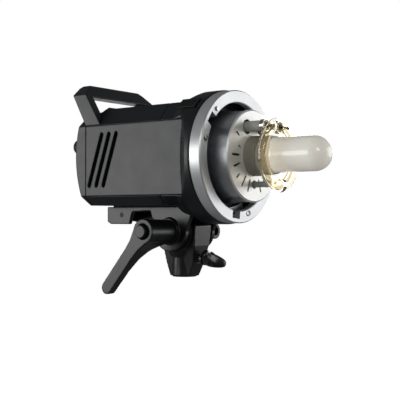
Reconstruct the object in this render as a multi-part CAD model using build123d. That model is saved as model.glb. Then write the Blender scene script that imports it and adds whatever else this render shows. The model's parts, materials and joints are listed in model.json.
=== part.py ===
"""Monolight studio strobe: a head with a bayonet ring, flash tube and modelling lamp on a tilting bracket.

Millimetres. The origin is the centre of the stand socket's mouth, +Z is up and the lamp points along -Y.
Pieces of the head are drawn around the lamp axis, where z = 0, and are lifted to it when they are written.
"""
from build123d import *
import os
from math import atan2, cos, degrees, hypot, radians, sin

# ---- places that tie the head to the stand bracket
head_z = 113.0              # lamp axis above the socket's mouth
tilt_z = 44.0               # tilt axis above the socket's mouth
ring_front_y = -65.0        # front face of the bayonet ring

# ---- fits
slip = 0.3                  # gap between pieces that move past each other
running = 0.05              # radial clearance of a shaft in its bore
seat = 0.1                  # gap of a fixed piece in its opening
bore_gap = 0.15             # radial gap of the lamp cap in its holder

# ---- bayonet ring
ring_d = 123.0
ring_open_d = 100.0
ring_t = 11.5
notch_w = 11.7
notch_depth = 7.2
notch_angles = (24, 144, 264)
ring_screw_angles = (46, 166, 286)
ring_screw_r = 54.2         # radius of the screw circle
m4_head_d = 6.0
m4_head_h = 1.6
m4_shank_d = 3.0
leaf_w = 5.2
leaf_t = 0.7

# ---- head casing, an octagonal tube
body_half_w = 50.0
panel_top = 33.3            # upper corner of the flat side
panel_low = -35.5           # lower corner of the flat side
body_top = 50.5
top_half_w = 35.0
body_low = -44.6
low_half_w = 40.0
wall = 2.4
collar_d = 125.0
collar_drum = 17.5          # cylindrical length of the collar behind the ring
collar_len = 43.5           # collar from the ring to the casing's seam on top
flare_len = 18.5            # from the ring's back to the flat side
flare_drop = 212.0          # radius of the flat side's hollow front edge
body_len = 94.5             # casing from the collar's seam to the rear cover
cover_bulge_r = 111.0       # crown of the rear cover
cover_depth = 14.5          # rear cover at its crown
slope_start = 16.5          # where the top starts to fall, ahead of the rear cover
slope_drop = 12.3           # fall of the top at the crown of the rear cover

# ---- optical slave window across the falling top
window_half_w = 34.0
window_len = 9.0
window_mid = 3.2            # its middle behind the start of the fall
window_rise = 1.6

# ---- louvres in the flat sides
louvre_n = 3
louvre_pitch = 9.4
louvre_w = 3.7
louvre_h = 49.0
louvre_lean = 16.7          # how far the foot of a slot stands behind its head
louvre_rear = 13.3          # mid of the last slot ahead of the rear cover
louvre_z = -0.5

# ---- silver dish and lamp
dish_front = 16.0           # dish face ahead of the ring
dish_r = 42.3
dish_wall = 1.4
bulkhead_back = 9.0         # bulkhead behind the ring's back
bulkhead_t = 2.0
vent_hole_r = 3.0
vent_hole_circle = 29.0
vent_hole_angles = (-45, -15, 15, 45, 135, 165, 195, 225)
holder_r = 18.3
holder_front = 11.5         # lamp holder ahead of the dish
holder_len = 34.0
bulb_seat = 4.0             # how deep the bulb sits in its base
lamp_cap_r = 13.2
lamp_cap_len = 20.0
lamp_base_r = 17.2
lamp_base_len = 12.5
bulb_r = 15.8
bulb_len = 59.0
bulb_wall = 1.2
vent_slots = ((144, 29.0, 35.2), (162, 23.0, 26.8), (180, 23.0, 35.2), (198, 23.0, 34.2),
              (216, 29.0, 35.2), (234, 22.2, 34.8), (252, 22.2, 34.6))
vent_w = 2.0

# ---- flash tube and its posts
tube_ring_r = 27.0
tube_r = 5.2
tube_front = 27.0           # tube's plane ahead of the dish
post_x = 11.4
post_z = 26.0
post_r = 4.8
post_hole_r = 6.8
leg_r = 3.0
low_post_r = 2.7
low_post_hole_r = 3.9
clamp_wall = 1.2
clamp_len = 4.0
clip_w = 5.0
wire_r = 0.45
wire_arc = 150
wire_turn = 112

# ---- bayonet lock
lock_angle = 131.0
lock_pin_r = 2.0
lock_pin_at = 54.5
lock_travel = 4.0
slider_w = 13.0
slider_len = 21.0
slider_h = 2.5

# ---- carrying handle
handle_t = 9.0
handle_top = 75.8
handle_corner = 65.0        # where the outer corner starts
handle_bar_t = 13.0
handle_top_half_w = 36.0
handle_foot_front = 20.1    # foot's front edge ahead of the rear cover
handle_foot_len = 20.2
handle_lean = 25.1          # how far the bar stands behind the foot
handle_bar_w = 16.0

# ---- controls on the back
plate_inset = 6.0           # control plate's rear face ahead of the crown
plate_t = 2.0
plate_half_w = 43.0
plate_low = -32.0
plate_top = 30.0
plate_screw_inset = 4.0
dial_x = -35.0
dial_z = 14.5
dial_r = 7.5
dial_len = 17.0
dial_shaft_r = 3.0
display_half_w = 22.0
display_h = 15.0
display_z = 20.0
button_n = 4
button_pitch = 13.0
button_r = 3.6
button_x = -17.0
button_z = 3.0
button_travel = 1.0
switch_half = 3.0
switch_depth = 3.5
encoder_half = 6.0
encoder_depth = 9.0
flute_n = 18
flute_r = 0.8
inlet_w = 27.0
inlet_h = 20.0
inlet_x = 20.5
inlet_z = -18.0
inlet_depth = 18.0
inlet_flange = 2.0
socket_half_w = 11.0
socket_half_h = 6.5
pin_half = (1.0, 2.0)
rocker_w = 13.0
rocker_h = 19.0
rocker_x = -5.0
rocker_z = -18.0
rocker_depth = 12.0
rocker_pivot_r = 1.2
rocker_wall = 1.2
fuse_x = -24.0
fuse_z = -12.0
fuse_r = 6.0
jack_x = -24.0
jack_z = -25.0
jack_r = 3.9

# ---- inside
fan_size = 72.0
fan_depth = 18.0
fan_bore_r = 34.0
fan_hub_r = 15.0
fan_blades = 7
fan_z = 2.5                 # fan's middle above the lamp axis
fan_spoke_t = 2.0
shaft_r = 1.5
fan_gap = 1.2               # blade tips to the frame
blade_w = 11.0
blade_t = 1.2
blade_pitch = 35.0          # degrees from the fan's plane
cap_r = 15.0
cap_len = 58.0
board_t = 1.6
rear_board_half_w = 28.0
chassis_t = 1.5

# ---- tilt bracket under the head
bracket_gap = 1.2
bracket_half_w = 23.0
cheek_t = 4.5
web_t = 3.0
bracket_front = -27.5
bracket_rear = 83.0
bracket_drop = 17.0         # height of the channel's rear half
cheek_drop = 11.5           # height of the cheek between its lobe and its window
lobe_r = 19.5
boss_len = 3.5              # boss on the near cheek that the lever's barrel turns against
window_y = 36.0             # middle of the window in each cheek
washer_t = 1.2
washer_r = 15.0
bolt_r = 4.0
bolt_head_r = 7.0
bolt_head_t = 4.5

# ---- clamp lever
barrel_r = 11.2
barrel_end = 54.0
lever_t = 8.0
lever_head_r = 11.6
lever_len = 76.0
lever_tip_r = 6.1
lever_neck_r = 6.6
lever_angle = 40.3
lever_button_r = 6.0
lever_recess_r = 7.0
lever_recess = 6.0
lever_button_out = 4.0
lever_button_travel = 3.0

# ---- stand casting
socket_r = 8.15
socket_depth = 32.0
boss_r = 12.0
shoulder_inset = 1.5        # shoulder's side inside the tongue's
shoulder_z = 25.0
tongue_r = 18.0
rib_low_half_w = 7.3
rib_inset = 4.3             # a rib's side inside the tongue's, above its taper
rib_taper_top = 38.0
rib_top = 52.0
clamp_z = 18.0
clamp_screw_r = 4.0
clamp_pad_r = 3.2
clamp_pad_t = 2.0
wing_half_w = 17.2
wing_h = 13.6
wing_tip_h = 5.2
wing_front = 38.6           # tips ahead of the socket's axis
wing_back = 23.5            # hub ahead of the socket's axis
wing_hub_r = 6.6
wing_angle = 20.0
lug_x = 36.0
lug_z = 43.3
lug_r = 7.8
lug_web_half = 4.0
lug_hole_r = 4.15
lug_len = 22.0

# ---- places worked out from the sizes
ring_back_y = ring_front_y + ring_t
seam_y = ring_back_y + collar_len
flat_front_y = ring_back_y + flare_len
cover_y = seam_y + body_len
crown_y = cover_y + cover_depth
dish_y = ring_front_y - dish_front
bulkhead_y = ring_back_y + bulkhead_back
tube_y = dish_y - tube_front
plate_y = crown_y - plate_inset
bracket_top = head_z + body_low - bracket_gap
cheek_in = bracket_half_w - cheek_t
tongue_half = cheek_in - washer_t - slip
shoulder_r = tongue_half - shoulder_inset
rib_half_w = tongue_half - rib_inset
spacer_x = bracket_half_w + boss_len
screw_end = bracket_top + bracket_gap + wall + chassis_t + 0.2
lever_out = barrel_end + lever_t
thread_end = barrel_end - 6
slider_y0 = ring_back_y + 5.5
lock_slot_y0 = slider_y0 + 5.0
lock_slot_y1 = lock_slot_y0 + 6.0 + lock_travel + 1.0
encoder_y = plate_y - plate_t - encoder_depth
dial_y0 = plate_y + 0.8
button_back = plate_y - plate_t - 1.4
switch_y = button_back - button_travel - slip
holder_y0 = dish_y - holder_front
holder_y1 = holder_y0 + holder_len
base_y0 = holder_y0 - lamp_base_len
bulb_y1 = base_y0 + bulb_seat
bulb_y0 = bulb_y1 - bulb_len
post_y0 = tube_y + tube_r + 0.6
post_end = tube_y + tube_r + 1.0

parts = {}


def block(x0, x1, y0, y1, z0, z1):
    """Box between two corners."""
    box = Box(abs(x1 - x0), abs(y1 - y0), abs(z1 - z0))
    return Pos((x0 + x1) / 2, (y0 + y1) / 2, (z0 + z1) / 2) * box


def rod_x(r, x0, x1, y=0, z=0):
    """Round bar along X."""
    return Pos((x0 + x1) / 2, y, z) * Rot(0, 90, 0) * Cylinder(r, abs(x1 - x0))


def rod_y(r, y0, y1, x=0, z=0):
    """Round bar along Y."""
    return Pos(x, (y0 + y1) / 2, z) * Rot(90, 0, 0) * Cylinder(r, abs(y1 - y0))


def rod_z(r, z0, z1, x=0, y=0):
    """Round bar along Z."""
    return Pos(x, y, (z0 + z1) / 2) * Cylinder(r, abs(z1 - z0))


def outline(points):
    """Flat face inside a closed outline of straight edges."""
    return make_face(Polyline(*points, close=True))


def along_x(face, x0, x1):
    """Prism of a face drawn as (y, z), from x0 to x1."""
    return extrude(Plane.YZ.offset(x0) * face, x1 - x0)


def along_y(face, y0, y1):
    """Prism of a face drawn as (x, z), from y0 to y1."""
    return extrude(Plane.XZ.offset(-y1) * face, y1 - y0)


def along_z(face, z0, z1):
    """Prism of a face drawn as (x, y), from z0 to z1."""
    return extrude(Plane.XY.offset(z0) * face, z1 - z0)


def turned(points):
    """Solid turned about the lamp axis from an outline of (radius, y) points."""
    return revolve(outline(points), Axis.Y)


def around_lamp(shape, angle):
    """Turns a shape drawn above the lamp axis to an angle counted from +X towards +Z."""
    return Rot(0, 90 - angle, 0) * shape


def polar(r, angle):
    """Point (x, z) at a radius and an angle about the lamp axis."""
    return r * cos(radians(angle)), r * sin(radians(angle))


def group(pieces):
    """Several separate solids in one node."""
    return Compound(children=[solid for piece in pieces for solid in piece.solids()])


def mirrored(shape):
    """The shape's twin on the other side of the object's mid plane."""
    return mirror(shape, Plane.YZ)


def octagon(inset):
    """Section of the casing, drawn as (x, z), with its walls moved in by an inset."""
    corners = [(body_half_w, panel_low), (body_half_w, panel_top), (top_half_w, body_top)]
    corners += [(-x, z) for x, z in reversed(corners)]
    corners += [(-low_half_w, body_low), (low_half_w, body_low)]
    face = outline(corners)
    return face if inset == 0 else offset(face, -inset, kind=Kind.INTERSECTION)


def top_slope(inset):
    """Wedge above the falling rear end of the top."""
    start = cover_y - slope_start
    rise = slope_drop / (crown_y - start)
    end = crown_y + 20
    face = outline([(start, body_top - inset), (end, body_top - inset - rise * (end - start)),
                    (end, body_top + 20), (start, body_top + 20)])
    return along_x(face, -body_half_w - 1, body_half_w + 1)


def casing(y0, y1, inset):
    """Octagonal prism of the casing with its falling rear end."""
    return along_y(octagon(inset), y0, y1) - top_slope(inset)


def side_zone(x0, x1, inset):
    """Slab on the +X side behind the hollow front edge of the flat side."""
    reach = 200.0
    centre_y = flat_front_y - flare_drop
    profile = outline([(x0, flare_drop + inset), (x1, flare_drop + inset),
                       (x1, flare_drop + reach), (x0, flare_drop + reach)])
    sector = revolve(profile, Axis.X, revolution_arc=40)
    mid_z = (panel_top + panel_low) / 2
    return Pos(0, centre_y, mid_z) * Rot(-20, 0, 0) * sector


# ---------------------------------------------------------------- front collar
def build_collar():
    """Round collar behind the bayonet ring, which runs into the octagonal casing, and the space inside it."""
    r = collar_d / 2
    drum_end = ring_back_y + collar_drum
    taper = turned([(0, ring_back_y), (r, ring_back_y), (r, drum_end), (r - 1.4, drum_end + 6),
                    (r - 5.2, drum_end + 18), (r - 12.5, seam_y), (0, seam_y)])
    core = along_y(octagon(0), ring_back_y + 2, seam_y)
    outer = (taper & block(-r, r, ring_back_y, seam_y, -r, r)) + (core & rod_y(r, ring_back_y, seam_y))
    cavity = along_y(octagon(wall), ring_back_y + 2, seam_y)
    inner = rod_y(r - 3.2, ring_back_y, drum_end + 2) + (cavity & rod_y(r - wall, ring_back_y, seam_y))
    flare = outline([(body_half_w, flat_front_y), (body_half_w + 3.2, flat_front_y - 4.5),
                     (body_half_w + 7.6, flat_front_y - 9.5), (r + 2, flat_front_y - 14.5),
                     (r + 2, seam_y + 1), (body_half_w, seam_y + 1)])
    scoop = along_z(flare, panel_low - 8, panel_top + 12)
    zone = side_zone(body_half_w - wall, body_half_w + 1, 0) & block(
        0, body_half_w + 2, ring_back_y, seam_y + 1, panel_low, panel_top)
    lining = Pos(-2 * wall, -wall, 0) * scoop
    inner -= lining + mirrored(lining)
    shell = outer - inner - scoop - mirrored(scoop) - zone - mirrored(zone)
    saddle_half = bracket_half_w + 1.0
    shell -= block(-saddle_half, saddle_half, bracket_front - 3, seam_y + 1, -r, body_low)
    slot_w = slider_w - 5
    slot = block(-slot_w / 2, slot_w / 2, lock_slot_y0, lock_slot_y1, r - 8, r + 2)
    shell -= around_lamp(slot, lock_angle)
    return shell.solids().sort_by(SortBy.VOLUME)[-1], inner


parts["front_collar"], collar_inside = build_collar()


# ---------------------------------------------------------------- casing shells
def build_shells():
    """Upper and lower casing shells and the two flat side panels."""
    tube = casing(seam_y, cover_y, 0) - casing(seam_y - 1, cover_y + 1, wall)
    far = body_half_w + 5
    sides = block(body_half_w - wall, far, seam_y - 1, cover_y + 1, panel_low, panel_top)
    frame = tube - sides - mirrored(sides)
    upper = frame & block(-far, far, seam_y, cover_y, 0, body_top + 5)
    lower = frame & block(-far, far, seam_y, cover_y, body_low - 5, 0)
    return upper, lower


def build_side_panel():
    """Flat side panel on the +X side with its slanted louvres."""
    plate = side_zone(body_half_w - wall, body_half_w, 0) & block(
        0, body_half_w, ring_back_y, cover_y, panel_low, panel_top)
    lean = degrees(atan2(louvre_lean, louvre_h))
    slot_len = hypot(louvre_lean, louvre_h) + louvre_w
    for i in range(louvre_n):
        slot_y = cover_y - louvre_rear - i * louvre_pitch
        face = Pos(slot_y, louvre_z) * Rot(0, 0, 90 + lean) * SlotOverall(slot_len, louvre_w)
        plate -= along_x(face, body_half_w - wall - 1, body_half_w + 1)
    return plate


parts["upper_shell"], parts["lower_shell"] = build_shells()
parts["side_panel_right"] = build_side_panel()
parts["side_panel_left"] = mirrored(parts["side_panel_right"])


# ---------------------------------------------------------------- rear cover and control plate
def crown(inset):
    """Barrel whose round side is the crown of the rear cover."""
    return rod_x(cover_bulge_r - inset, -body_half_w - 5, body_half_w + 5, crown_y - cover_bulge_r, 4)


def build_rear_cover():
    """Crowned rear cover with a recess for the control plate."""
    outer = casing(cover_y, crown_y + 3, 0) & crown(0)
    edges = outer.edges().filter_by(lambda e: e.center().Y > cover_y + 3)
    outer = fillet(edges, 2.0)
    cavity = casing(cover_y - 1, crown_y, wall) & crown(wall) & block(
        -body_half_w, body_half_w, cover_y - 1, plate_y - plate_t - seat, body_low, body_top)
    recess = block(-plate_half_w, plate_half_w, plate_y - plate_t - 3, crown_y + 5, plate_low, plate_top)
    return outer - cavity - recess


parts["rear_cover"] = build_rear_cover()


def rear_openings(y0, y1, extra):
    """What passes through the control plate, each grown by an extra on every side."""
    shapes = [rod_y(dial_shaft_r + extra, y0, y1, dial_x, dial_z)]
    for i in range(button_n):
        shapes += [rod_y(button_r + extra, y0, y1, button_x + i * button_pitch, button_z)]
    shapes += [block(-display_half_w - extra, display_half_w + extra, y0, y1,
                     display_z - display_h / 2 - extra, display_z + display_h / 2 + extra)]
    shapes += [block(inlet_x - inlet_w / 2 - extra, inlet_x + inlet_w / 2 + extra, y0, y1,
                     inlet_z - inlet_h / 2 - extra, inlet_z + inlet_h / 2 + extra)]
    shapes += [block(rocker_x - rocker_w / 2 - extra, rocker_x + rocker_w / 2 + extra, y0, y1,
                     rocker_z - rocker_h / 2 - extra, rocker_z + rocker_h / 2 + extra)]
    shapes += [rod_y(fuse_r + extra, y0, y1, fuse_x, fuse_z)]
    shapes += [rod_y(jack_r + extra, y0, y1, jack_x, jack_z)]
    return shapes


plate = block(-plate_half_w + seat, plate_half_w - seat, plate_y - plate_t, plate_y, plate_low + seat,
              plate_top - seat)
for opening in rear_openings(plate_y - plate_t - 1, plate_y + 1, slip):
    plate -= opening
plate_screw_spots = [(sx * (plate_half_w - plate_screw_inset), z) for sx in (-1, 1)
                     for z in (plate_low + plate_screw_inset, plate_top - plate_screw_inset)]
for x, z in plate_screw_spots:
    plate -= rod_y(m4_shank_d / 2 + seat, plate_y - plate_t - 1, plate_y + 1, x, z)
parts["control_plate"] = plate

screws = []
for x, z in plate_screw_spots:
    head = rod_y(m4_head_d / 2 - 0.4, plate_y, plate_y + m4_head_h, x, z)
    drive = rod_y(0.9, plate_y + 0.6, plate_y + m4_head_h + 1, x, z)
    screws.append(head - drive + rod_y(m4_shank_d / 2, plate_y - 7, plate_y, x, z))
parts["control_plate_screws"] = group(screws)

parts["display_window"] = block(-display_half_w, display_half_w, plate_y - plate_t, plate_y + 0.6,
                                display_z - display_h / 2, display_z + display_h / 2)

# ---- dial on its shaft
dial = rod_y(dial_r, dial_y0, dial_y0 + dial_len, dial_x, dial_z)
dial = fillet(dial.edges().filter_by(lambda e: e.center().Y > dial_y0 + dial_len - 1), 1.2)
for i in range(flute_n):
    fx, fz = polar(dial_r + 0.35, i * 360 / flute_n)
    dial -= rod_y(flute_r, dial_y0 + 2.5, dial_y0 + dial_len + 1, dial_x + fx, dial_z + fz)
dial += rod_y(dial_shaft_r, encoder_y + 4, dial_y0 + 1, dial_x, dial_z)
parts["power_dial"] = dial
encoder = block(dial_x - encoder_half, dial_x + encoder_half, encoder_y, plate_y - plate_t - 1,
                dial_z - encoder_half, dial_z + encoder_half)
encoder -= rod_y(dial_shaft_r + running, encoder_y + 3.5, plate_y, dial_x, dial_z)

# ---- push buttons and the switches behind them
button_names = ("test_button", "modelling_button", "slave_button", "sound_button")
switches = []
for i, name in enumerate(button_names):
    x = button_x + i * button_pitch
    cap = rod_y(button_r, button_back, plate_y + 2.2, x, button_z)
    cap = fillet(cap.edges().filter_by(lambda e: e.center().Y > plate_y + 2), 0.8)
    parts[name] = cap + rod_y(button_r + 1.0, button_back, button_back + 1.0, x, button_z)
    switches.append(block(x - switch_half, x + switch_half, switch_y - switch_depth, switch_y,
                          button_z - switch_half, button_z + switch_half))
parts["control_switches"] = group(switches + [encoder])

# ---- mains inlet, rocker, fuse and sync jack
inlet = block(inlet_x - inlet_w / 2, inlet_x + inlet_w / 2, plate_y - plate_t - inlet_depth, plate_y,
              inlet_z - inlet_h / 2, inlet_z + inlet_h / 2)
inlet += block(inlet_x - inlet_w / 2 - inlet_flange, inlet_x + inlet_w / 2 + inlet_flange,
               plate_y, plate_y + 1.5,
               inlet_z - inlet_h / 2 - inlet_flange, inlet_z + inlet_h / 2 + inlet_flange)
inlet -= block(inlet_x - socket_half_w, inlet_x + socket_half_w, plate_y - 14, plate_y + 3,
               inlet_z - socket_half_h, inlet_z + socket_half_h)
pins = []
for dx, dz in ((-7.0, -1.5), (0, 1.5), (7.0, -1.5)):
    pin_x0, pin_x1 = inlet_x + dx - pin_half[0], inlet_x + dx + pin_half[0]
    pin_z0, pin_z1 = inlet_z + dz - pin_half[1], inlet_z + dz + pin_half[1]
    inlet -= block(pin_x0, pin_x1, plate_y - 26, plate_y, pin_z0, pin_z1)
    pins.append(block(pin_x0, pin_x1, plate_y - 25, plate_y - 3, pin_z0, pin_z1))
parts["mains_inlet"] = inlet
parts["inlet_pins"] = group(pins)

rocker_pivot_y = plate_y - 2.0
housing = block(rocker_x - rocker_w / 2, rocker_x + rocker_w / 2, plate_y - plate_t - rocker_depth,
                plate_y,
                rocker_z - rocker_h / 2, rocker_z + rocker_h / 2)
housing += block(rocker_x - rocker_w / 2 - rocker_wall, rocker_x + rocker_w / 2 + rocker_wall,
                 plate_y, plate_y + 1.2,
                 rocker_z - rocker_h / 2 - rocker_wall, rocker_z + rocker_h / 2 + rocker_wall)
rocker_half = rocker_h / 2 - 1.8
housing -= block(rocker_x - rocker_w / 2 + rocker_wall, rocker_x + rocker_w / 2 - rocker_wall,
                 plate_y - rocker_depth + 1.5, plate_y + 3,
                 rocker_z - rocker_half - 0.6, rocker_z + rocker_half + 0.6)
housing -= rod_x(rocker_pivot_r + running, rocker_x - rocker_w / 2 + 0.3, rocker_x + rocker_w / 2 - 0.3,
                 rocker_pivot_y, rocker_z)
parts["rocker_housing"] = housing
paddle = outline([(rocker_pivot_y - 3, -2.5), (rocker_pivot_y - 3, 2.5),
                  (plate_y + 1.2, rocker_half - 0.4),
                  (plate_y + 3.4, rocker_half - 0.6), (plate_y + 1.7, 0),
                  (plate_y + 3.4, 0.6 - rocker_half),
                  (plate_y + 1.2, 0.4 - rocker_half)])
rocker = along_x(paddle, rocker_x - rocker_w / 2 + 1.5, rocker_x + rocker_w / 2 - 1.5)
rocker = Pos(0, 0, rocker_z) * rocker
rocker += rod_x(rocker_pivot_r, rocker_x - rocker_w / 2 + 0.5, rocker_x + rocker_w / 2 - 0.5,
                rocker_pivot_y, rocker_z)
parts["power_rocker"] = rocker

fuse_body_r = fuse_r - 1.6
fuse = rod_y(fuse_r, plate_y - plate_t - 14, plate_y, fuse_x, fuse_z)
fuse += rod_y(fuse_r + 1.4, plate_y, plate_y + 1.2, fuse_x, fuse_z)
parts["fuse_holder"] = fuse - rod_y(fuse_body_r, plate_y - 12, plate_y + 2, fuse_x, fuse_z)
cap = rod_y(fuse_body_r - running, plate_y - 9, plate_y + 1.2, fuse_x, fuse_z)
cap += rod_y(fuse_body_r - running, plate_y, plate_y + 2, fuse_x, fuse_z)
cap += rod_y(fuse_r, plate_y + 1.4, plate_y + 4.2, fuse_x, fuse_z)
parts["fuse_cap"] = cap - block(fuse_x - 4, fuse_x + 4, plate_y + 3, plate_y + 5, fuse_z - 0.6,
                                fuse_z + 0.6)
jack = rod_y(jack_r, plate_y - plate_t - 10, plate_y + 1.0, jack_x, jack_z)
parts["sync_jack"] = jack - rod_y(1.8, plate_y - 9, plate_y + 2, jack_x, jack_z)

# ---- optical slave window in the falling top
slope_angle = degrees(atan2(slope_drop, crown_y - cover_y + slope_start))


def slope_prism(half_w, length, low, high):
    """Block lying on the falling top, from a depth below it to a height above it."""
    slab = block(-half_w, half_w, -length / 2, length / 2, low, high)
    fall = Rot(-slope_angle, 0, 0) * Pos(0, window_mid, 0) * slab
    return Pos(0, cover_y - slope_start, body_top) * fall


parts["upper_shell"] -= slope_prism(window_half_w, window_len, -wall - 1, 1)
lens = slope_prism(window_half_w - seat, window_len - 2 * seat, -wall - 0.4, window_rise)
lens_rim = lens.edges().filter_by(Axis.X).filter_by(lambda e: e.center().Z > body_top - 1.2)
parts["slave_window"] = fillet(lens_rim, 0.9)


# ---------------------------------------------------------------- carrying handle
def build_handle():
    """Arch across the rear of the casing: two leaning legs and a bar, with cut corners."""
    bar_low = handle_top - handle_bar_t
    inner = body_half_w - handle_t
    arch = outline([(-body_half_w, panel_top), (-body_half_w, handle_corner),
                    (-handle_top_half_w, handle_top),
                    (handle_top_half_w, handle_top), (body_half_w, handle_corner),
                    (body_half_w, panel_top),
                    (inner, panel_top), (inner, bar_low), (-inner, bar_low), (-inner, panel_top)])
    foot_y = cover_y - handle_foot_front
    bar_y = foot_y + handle_lean
    side = outline([(foot_y, panel_top), (foot_y + handle_foot_len, panel_top),
                    (bar_y + handle_bar_w - 3.5, handle_corner - 0.5),
                    (bar_y + handle_bar_w - 1.5, handle_top - 2.5),
                    (bar_y + handle_bar_w - 4, handle_top), (bar_y + 2.5, handle_top),
                    (bar_y - 0.5, handle_top - 3)])
    solid = along_y(arch, foot_y - 5, bar_y + handle_bar_w + 5) & along_x(side, -body_half_w, body_half_w)
    return solid - casing(seam_y, crown_y + 10, 0)


parts["carry_handle"] = build_handle()


# ---------------------------------------------------------------- bayonet ring, lock and bulkhead
def build_ring():
    """Bayonet ring with three entry notches, its screw holes and the lock pin's hole."""
    r = ring_d / 2
    open_r = ring_open_d / 2
    ring = turned([(open_r, ring_front_y + 0.8), (open_r + 0.8, ring_front_y), (r - 1.0, ring_front_y),
                   (r, ring_front_y + 1.0), (r, ring_back_y), (open_r + 3.5, ring_back_y),
                   (open_r + 3.5, ring_front_y + 6), (open_r, ring_front_y + 6)])
    for angle in notch_angles:
        notch = block(-notch_w / 2, notch_w / 2, ring_front_y - 1, ring_back_y + 1, open_r - 4,
                      open_r + notch_depth)
        ring -= around_lamp(notch, angle)
    for angle in ring_screw_angles:
        x, z = polar(ring_screw_r, angle)
        ring -= rod_y(m4_head_d / 2 - 0.5 + seat, ring_front_y - 1, ring_front_y + m4_head_h, x, z)
        ring -= rod_y(m4_shank_d / 2 + seat, ring_front_y - 1, ring_back_y + 1, x, z)
    x, z = polar(lock_pin_at, lock_angle)
    return ring - rod_y(lock_pin_r + slip, ring_front_y - 1, ring_back_y + 1, x, z)


parts["bayonet_ring"] = build_ring()

screws = []
for angle in ring_screw_angles:
    x, z = polar(ring_screw_r, angle)
    screw = rod_y(m4_head_d / 2 - 0.5, ring_front_y + 0.1, ring_front_y + m4_head_h, x, z)
    screw -= rod_y(0.9, ring_front_y - 1, ring_front_y + 1.2, x, z)
    screw += rod_y(m4_shank_d / 2, ring_front_y + m4_head_h, bulkhead_y + bulkhead_t + 1, x, z)
    screws.append(screw)
parts["ring_screws"] = group(screws)

# ---- bayonet bed: the dark step behind the ring that the adapter's lugs slide on
bed_r = collar_d / 2 - 3.2 - seat
bed_y0 = ring_back_y
bed_open_r = ring_open_d / 2 - 1.5
step_r = ring_open_d / 2 + 5.5
step_y = bulkhead_y - 3
bed = turned([(bed_open_r, step_y), (bed_r, bed_y0), (bed_r, bulkhead_y), (bed_open_r, bulkhead_y)])
bed -= turned([(0, bed_y0 - 1), (step_r, bed_y0 - 1), (step_r, step_y), (0, step_y)])
bulkhead = rod_y(bed_r, bulkhead_y, bulkhead_y + bulkhead_t)
bulkhead -= rod_y(lamp_cap_r + 4, bulkhead_y - 1, bulkhead_y + 5)
for angle in ring_screw_angles:
    x, z = polar(ring_screw_r, angle)
    drill = rod_y(m4_shank_d / 2 + 0.02, bed_y0 - 1, bulkhead_y + 9, x, z)
    bed -= drill
    bulkhead -= drill
    parts["front_collar"] -= drill
pin_x, pin_z = polar(lock_pin_at, lock_angle)
pin_hole = rod_y(lock_pin_r + running, bed_y0 - 1, bulkhead_y + 9, pin_x, pin_z)
for angle in vent_hole_angles:
    x, z = polar(vent_hole_circle, angle)
    bulkhead -= rod_y(vent_hole_r, bulkhead_y - 1, bulkhead_y + 5, x, z)
parts["bayonet_bed"] = (bed - pin_hole) & collar_inside
parts["bulkhead"] = (bulkhead - pin_hole) & collar_inside

# ---- spring leaves that press on the adapter's lugs
leaves = []
leaf_r = ring_open_d / 2 + 2.0
leaf_y = bed_y0 + 1.2
for angle in notch_angles:
    leaf = rod_y(leaf_r, leaf_y, leaf_y + leaf_t) - rod_y(leaf_r - leaf_w, bed_y0, bed_y0 + 4)
    wedge = outline([(0, 0), polar(80, angle + 9), polar(80, angle + 21), polar(80, angle + 33)])
    leaves.append(leaf & along_y(wedge, bed_y0, bed_y0 + 4))
parts["bayonet_springs"] = group(leaves)

# ---- release slider, which carries the lock pin
r = collar_d / 2
slider = block(-slider_w / 2, slider_w / 2, slider_y0, slider_y0 + slider_len, r - 1.5,
               r + slider_h - 1.2)
slider -= rod_y(r + slip, slider_y0 - 1, slider_y0 + slider_len + 1)
for i in range(5):
    groove_y = slider_y0 + 4 + i * 3.2
    slider -= block(-slider_w / 2 + 1.5, slider_w / 2 - 1.5, groove_y, groove_y + 1.2,
                    r + slider_h - 1.9, r + slider_h)
stem_y0 = lock_slot_y0 + 0.5
stem_len = 5.5
slider += block(-slider_w / 2 + 3.2, slider_w / 2 - 3.2, stem_y0, stem_y0 + stem_len, lock_pin_at - 3.2,
                r + 0.8)
slider = around_lamp(slider, lock_angle)
parts["release_slider"] = slider - rod_y(lock_pin_r, stem_y0 - 1, stem_y0 + 7, pin_x, pin_z)
parts["lock_pin"] = rod_y(lock_pin_r, ring_front_y - 1.5, stem_y0 + stem_len, pin_x, pin_z)


# ---------------------------------------------------------------- dish, lamp holder, lamp
def build_dish():
    """Silver dish: a flat face with vents, on a drum with a waisted side."""
    r = dish_r
    back = bulkhead_y
    side = [(0, dish_y), (r - 1.2, dish_y), (r, dish_y + 1.2), (r - 0.6, dish_y + 8),
            (r - 0.2, dish_y + 16),
            (r + 1.6, back - 1), (r + 1.6, back)]
    inner = [(r + 1.6 - dish_wall, back), (r - 0.2 - dish_wall, dish_y + 16),
             (r - 0.6 - dish_wall, dish_y + 8),
             (r - 0.4 - dish_wall, dish_y + dish_wall), (0, dish_y + dish_wall)]
    dish = turned(side + inner)
    through = (dish_y - 1, dish_y + dish_wall + 1)
    dish -= rod_y(holder_r + seat, *through)
    for x in (-post_x, post_x):
        dish -= rod_y(post_hole_r, *through, x, post_z)
    dish -= rod_y(low_post_hole_r, *through, 0, -post_z)
    for angle, r0, r1 in vent_slots:
        slot = Pos(0, (r0 + r1) / 2) * Rot(0, 0, 90) * SlotOverall(r1 - r0, vent_w)
        for turn in (angle, 180 - angle):
            dish -= around_lamp(along_y(slot, *through), turn)
    return dish


parts["lamp_dish"] = build_dish()

holder = rod_y(holder_r, holder_y0, holder_y1)
holder = fillet(holder.edges().filter_by(lambda e: e.center().Y < holder_y0 + 0.1), 0.8)
holder -= rod_y(lamp_cap_r + bore_gap, holder_y0 - 1, holder_y0 + lamp_cap_len + 0.4)
holder += rod_y(lamp_cap_r + 2, holder_y1, bulkhead_y)
parts["lamp_holder"] = holder

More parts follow.
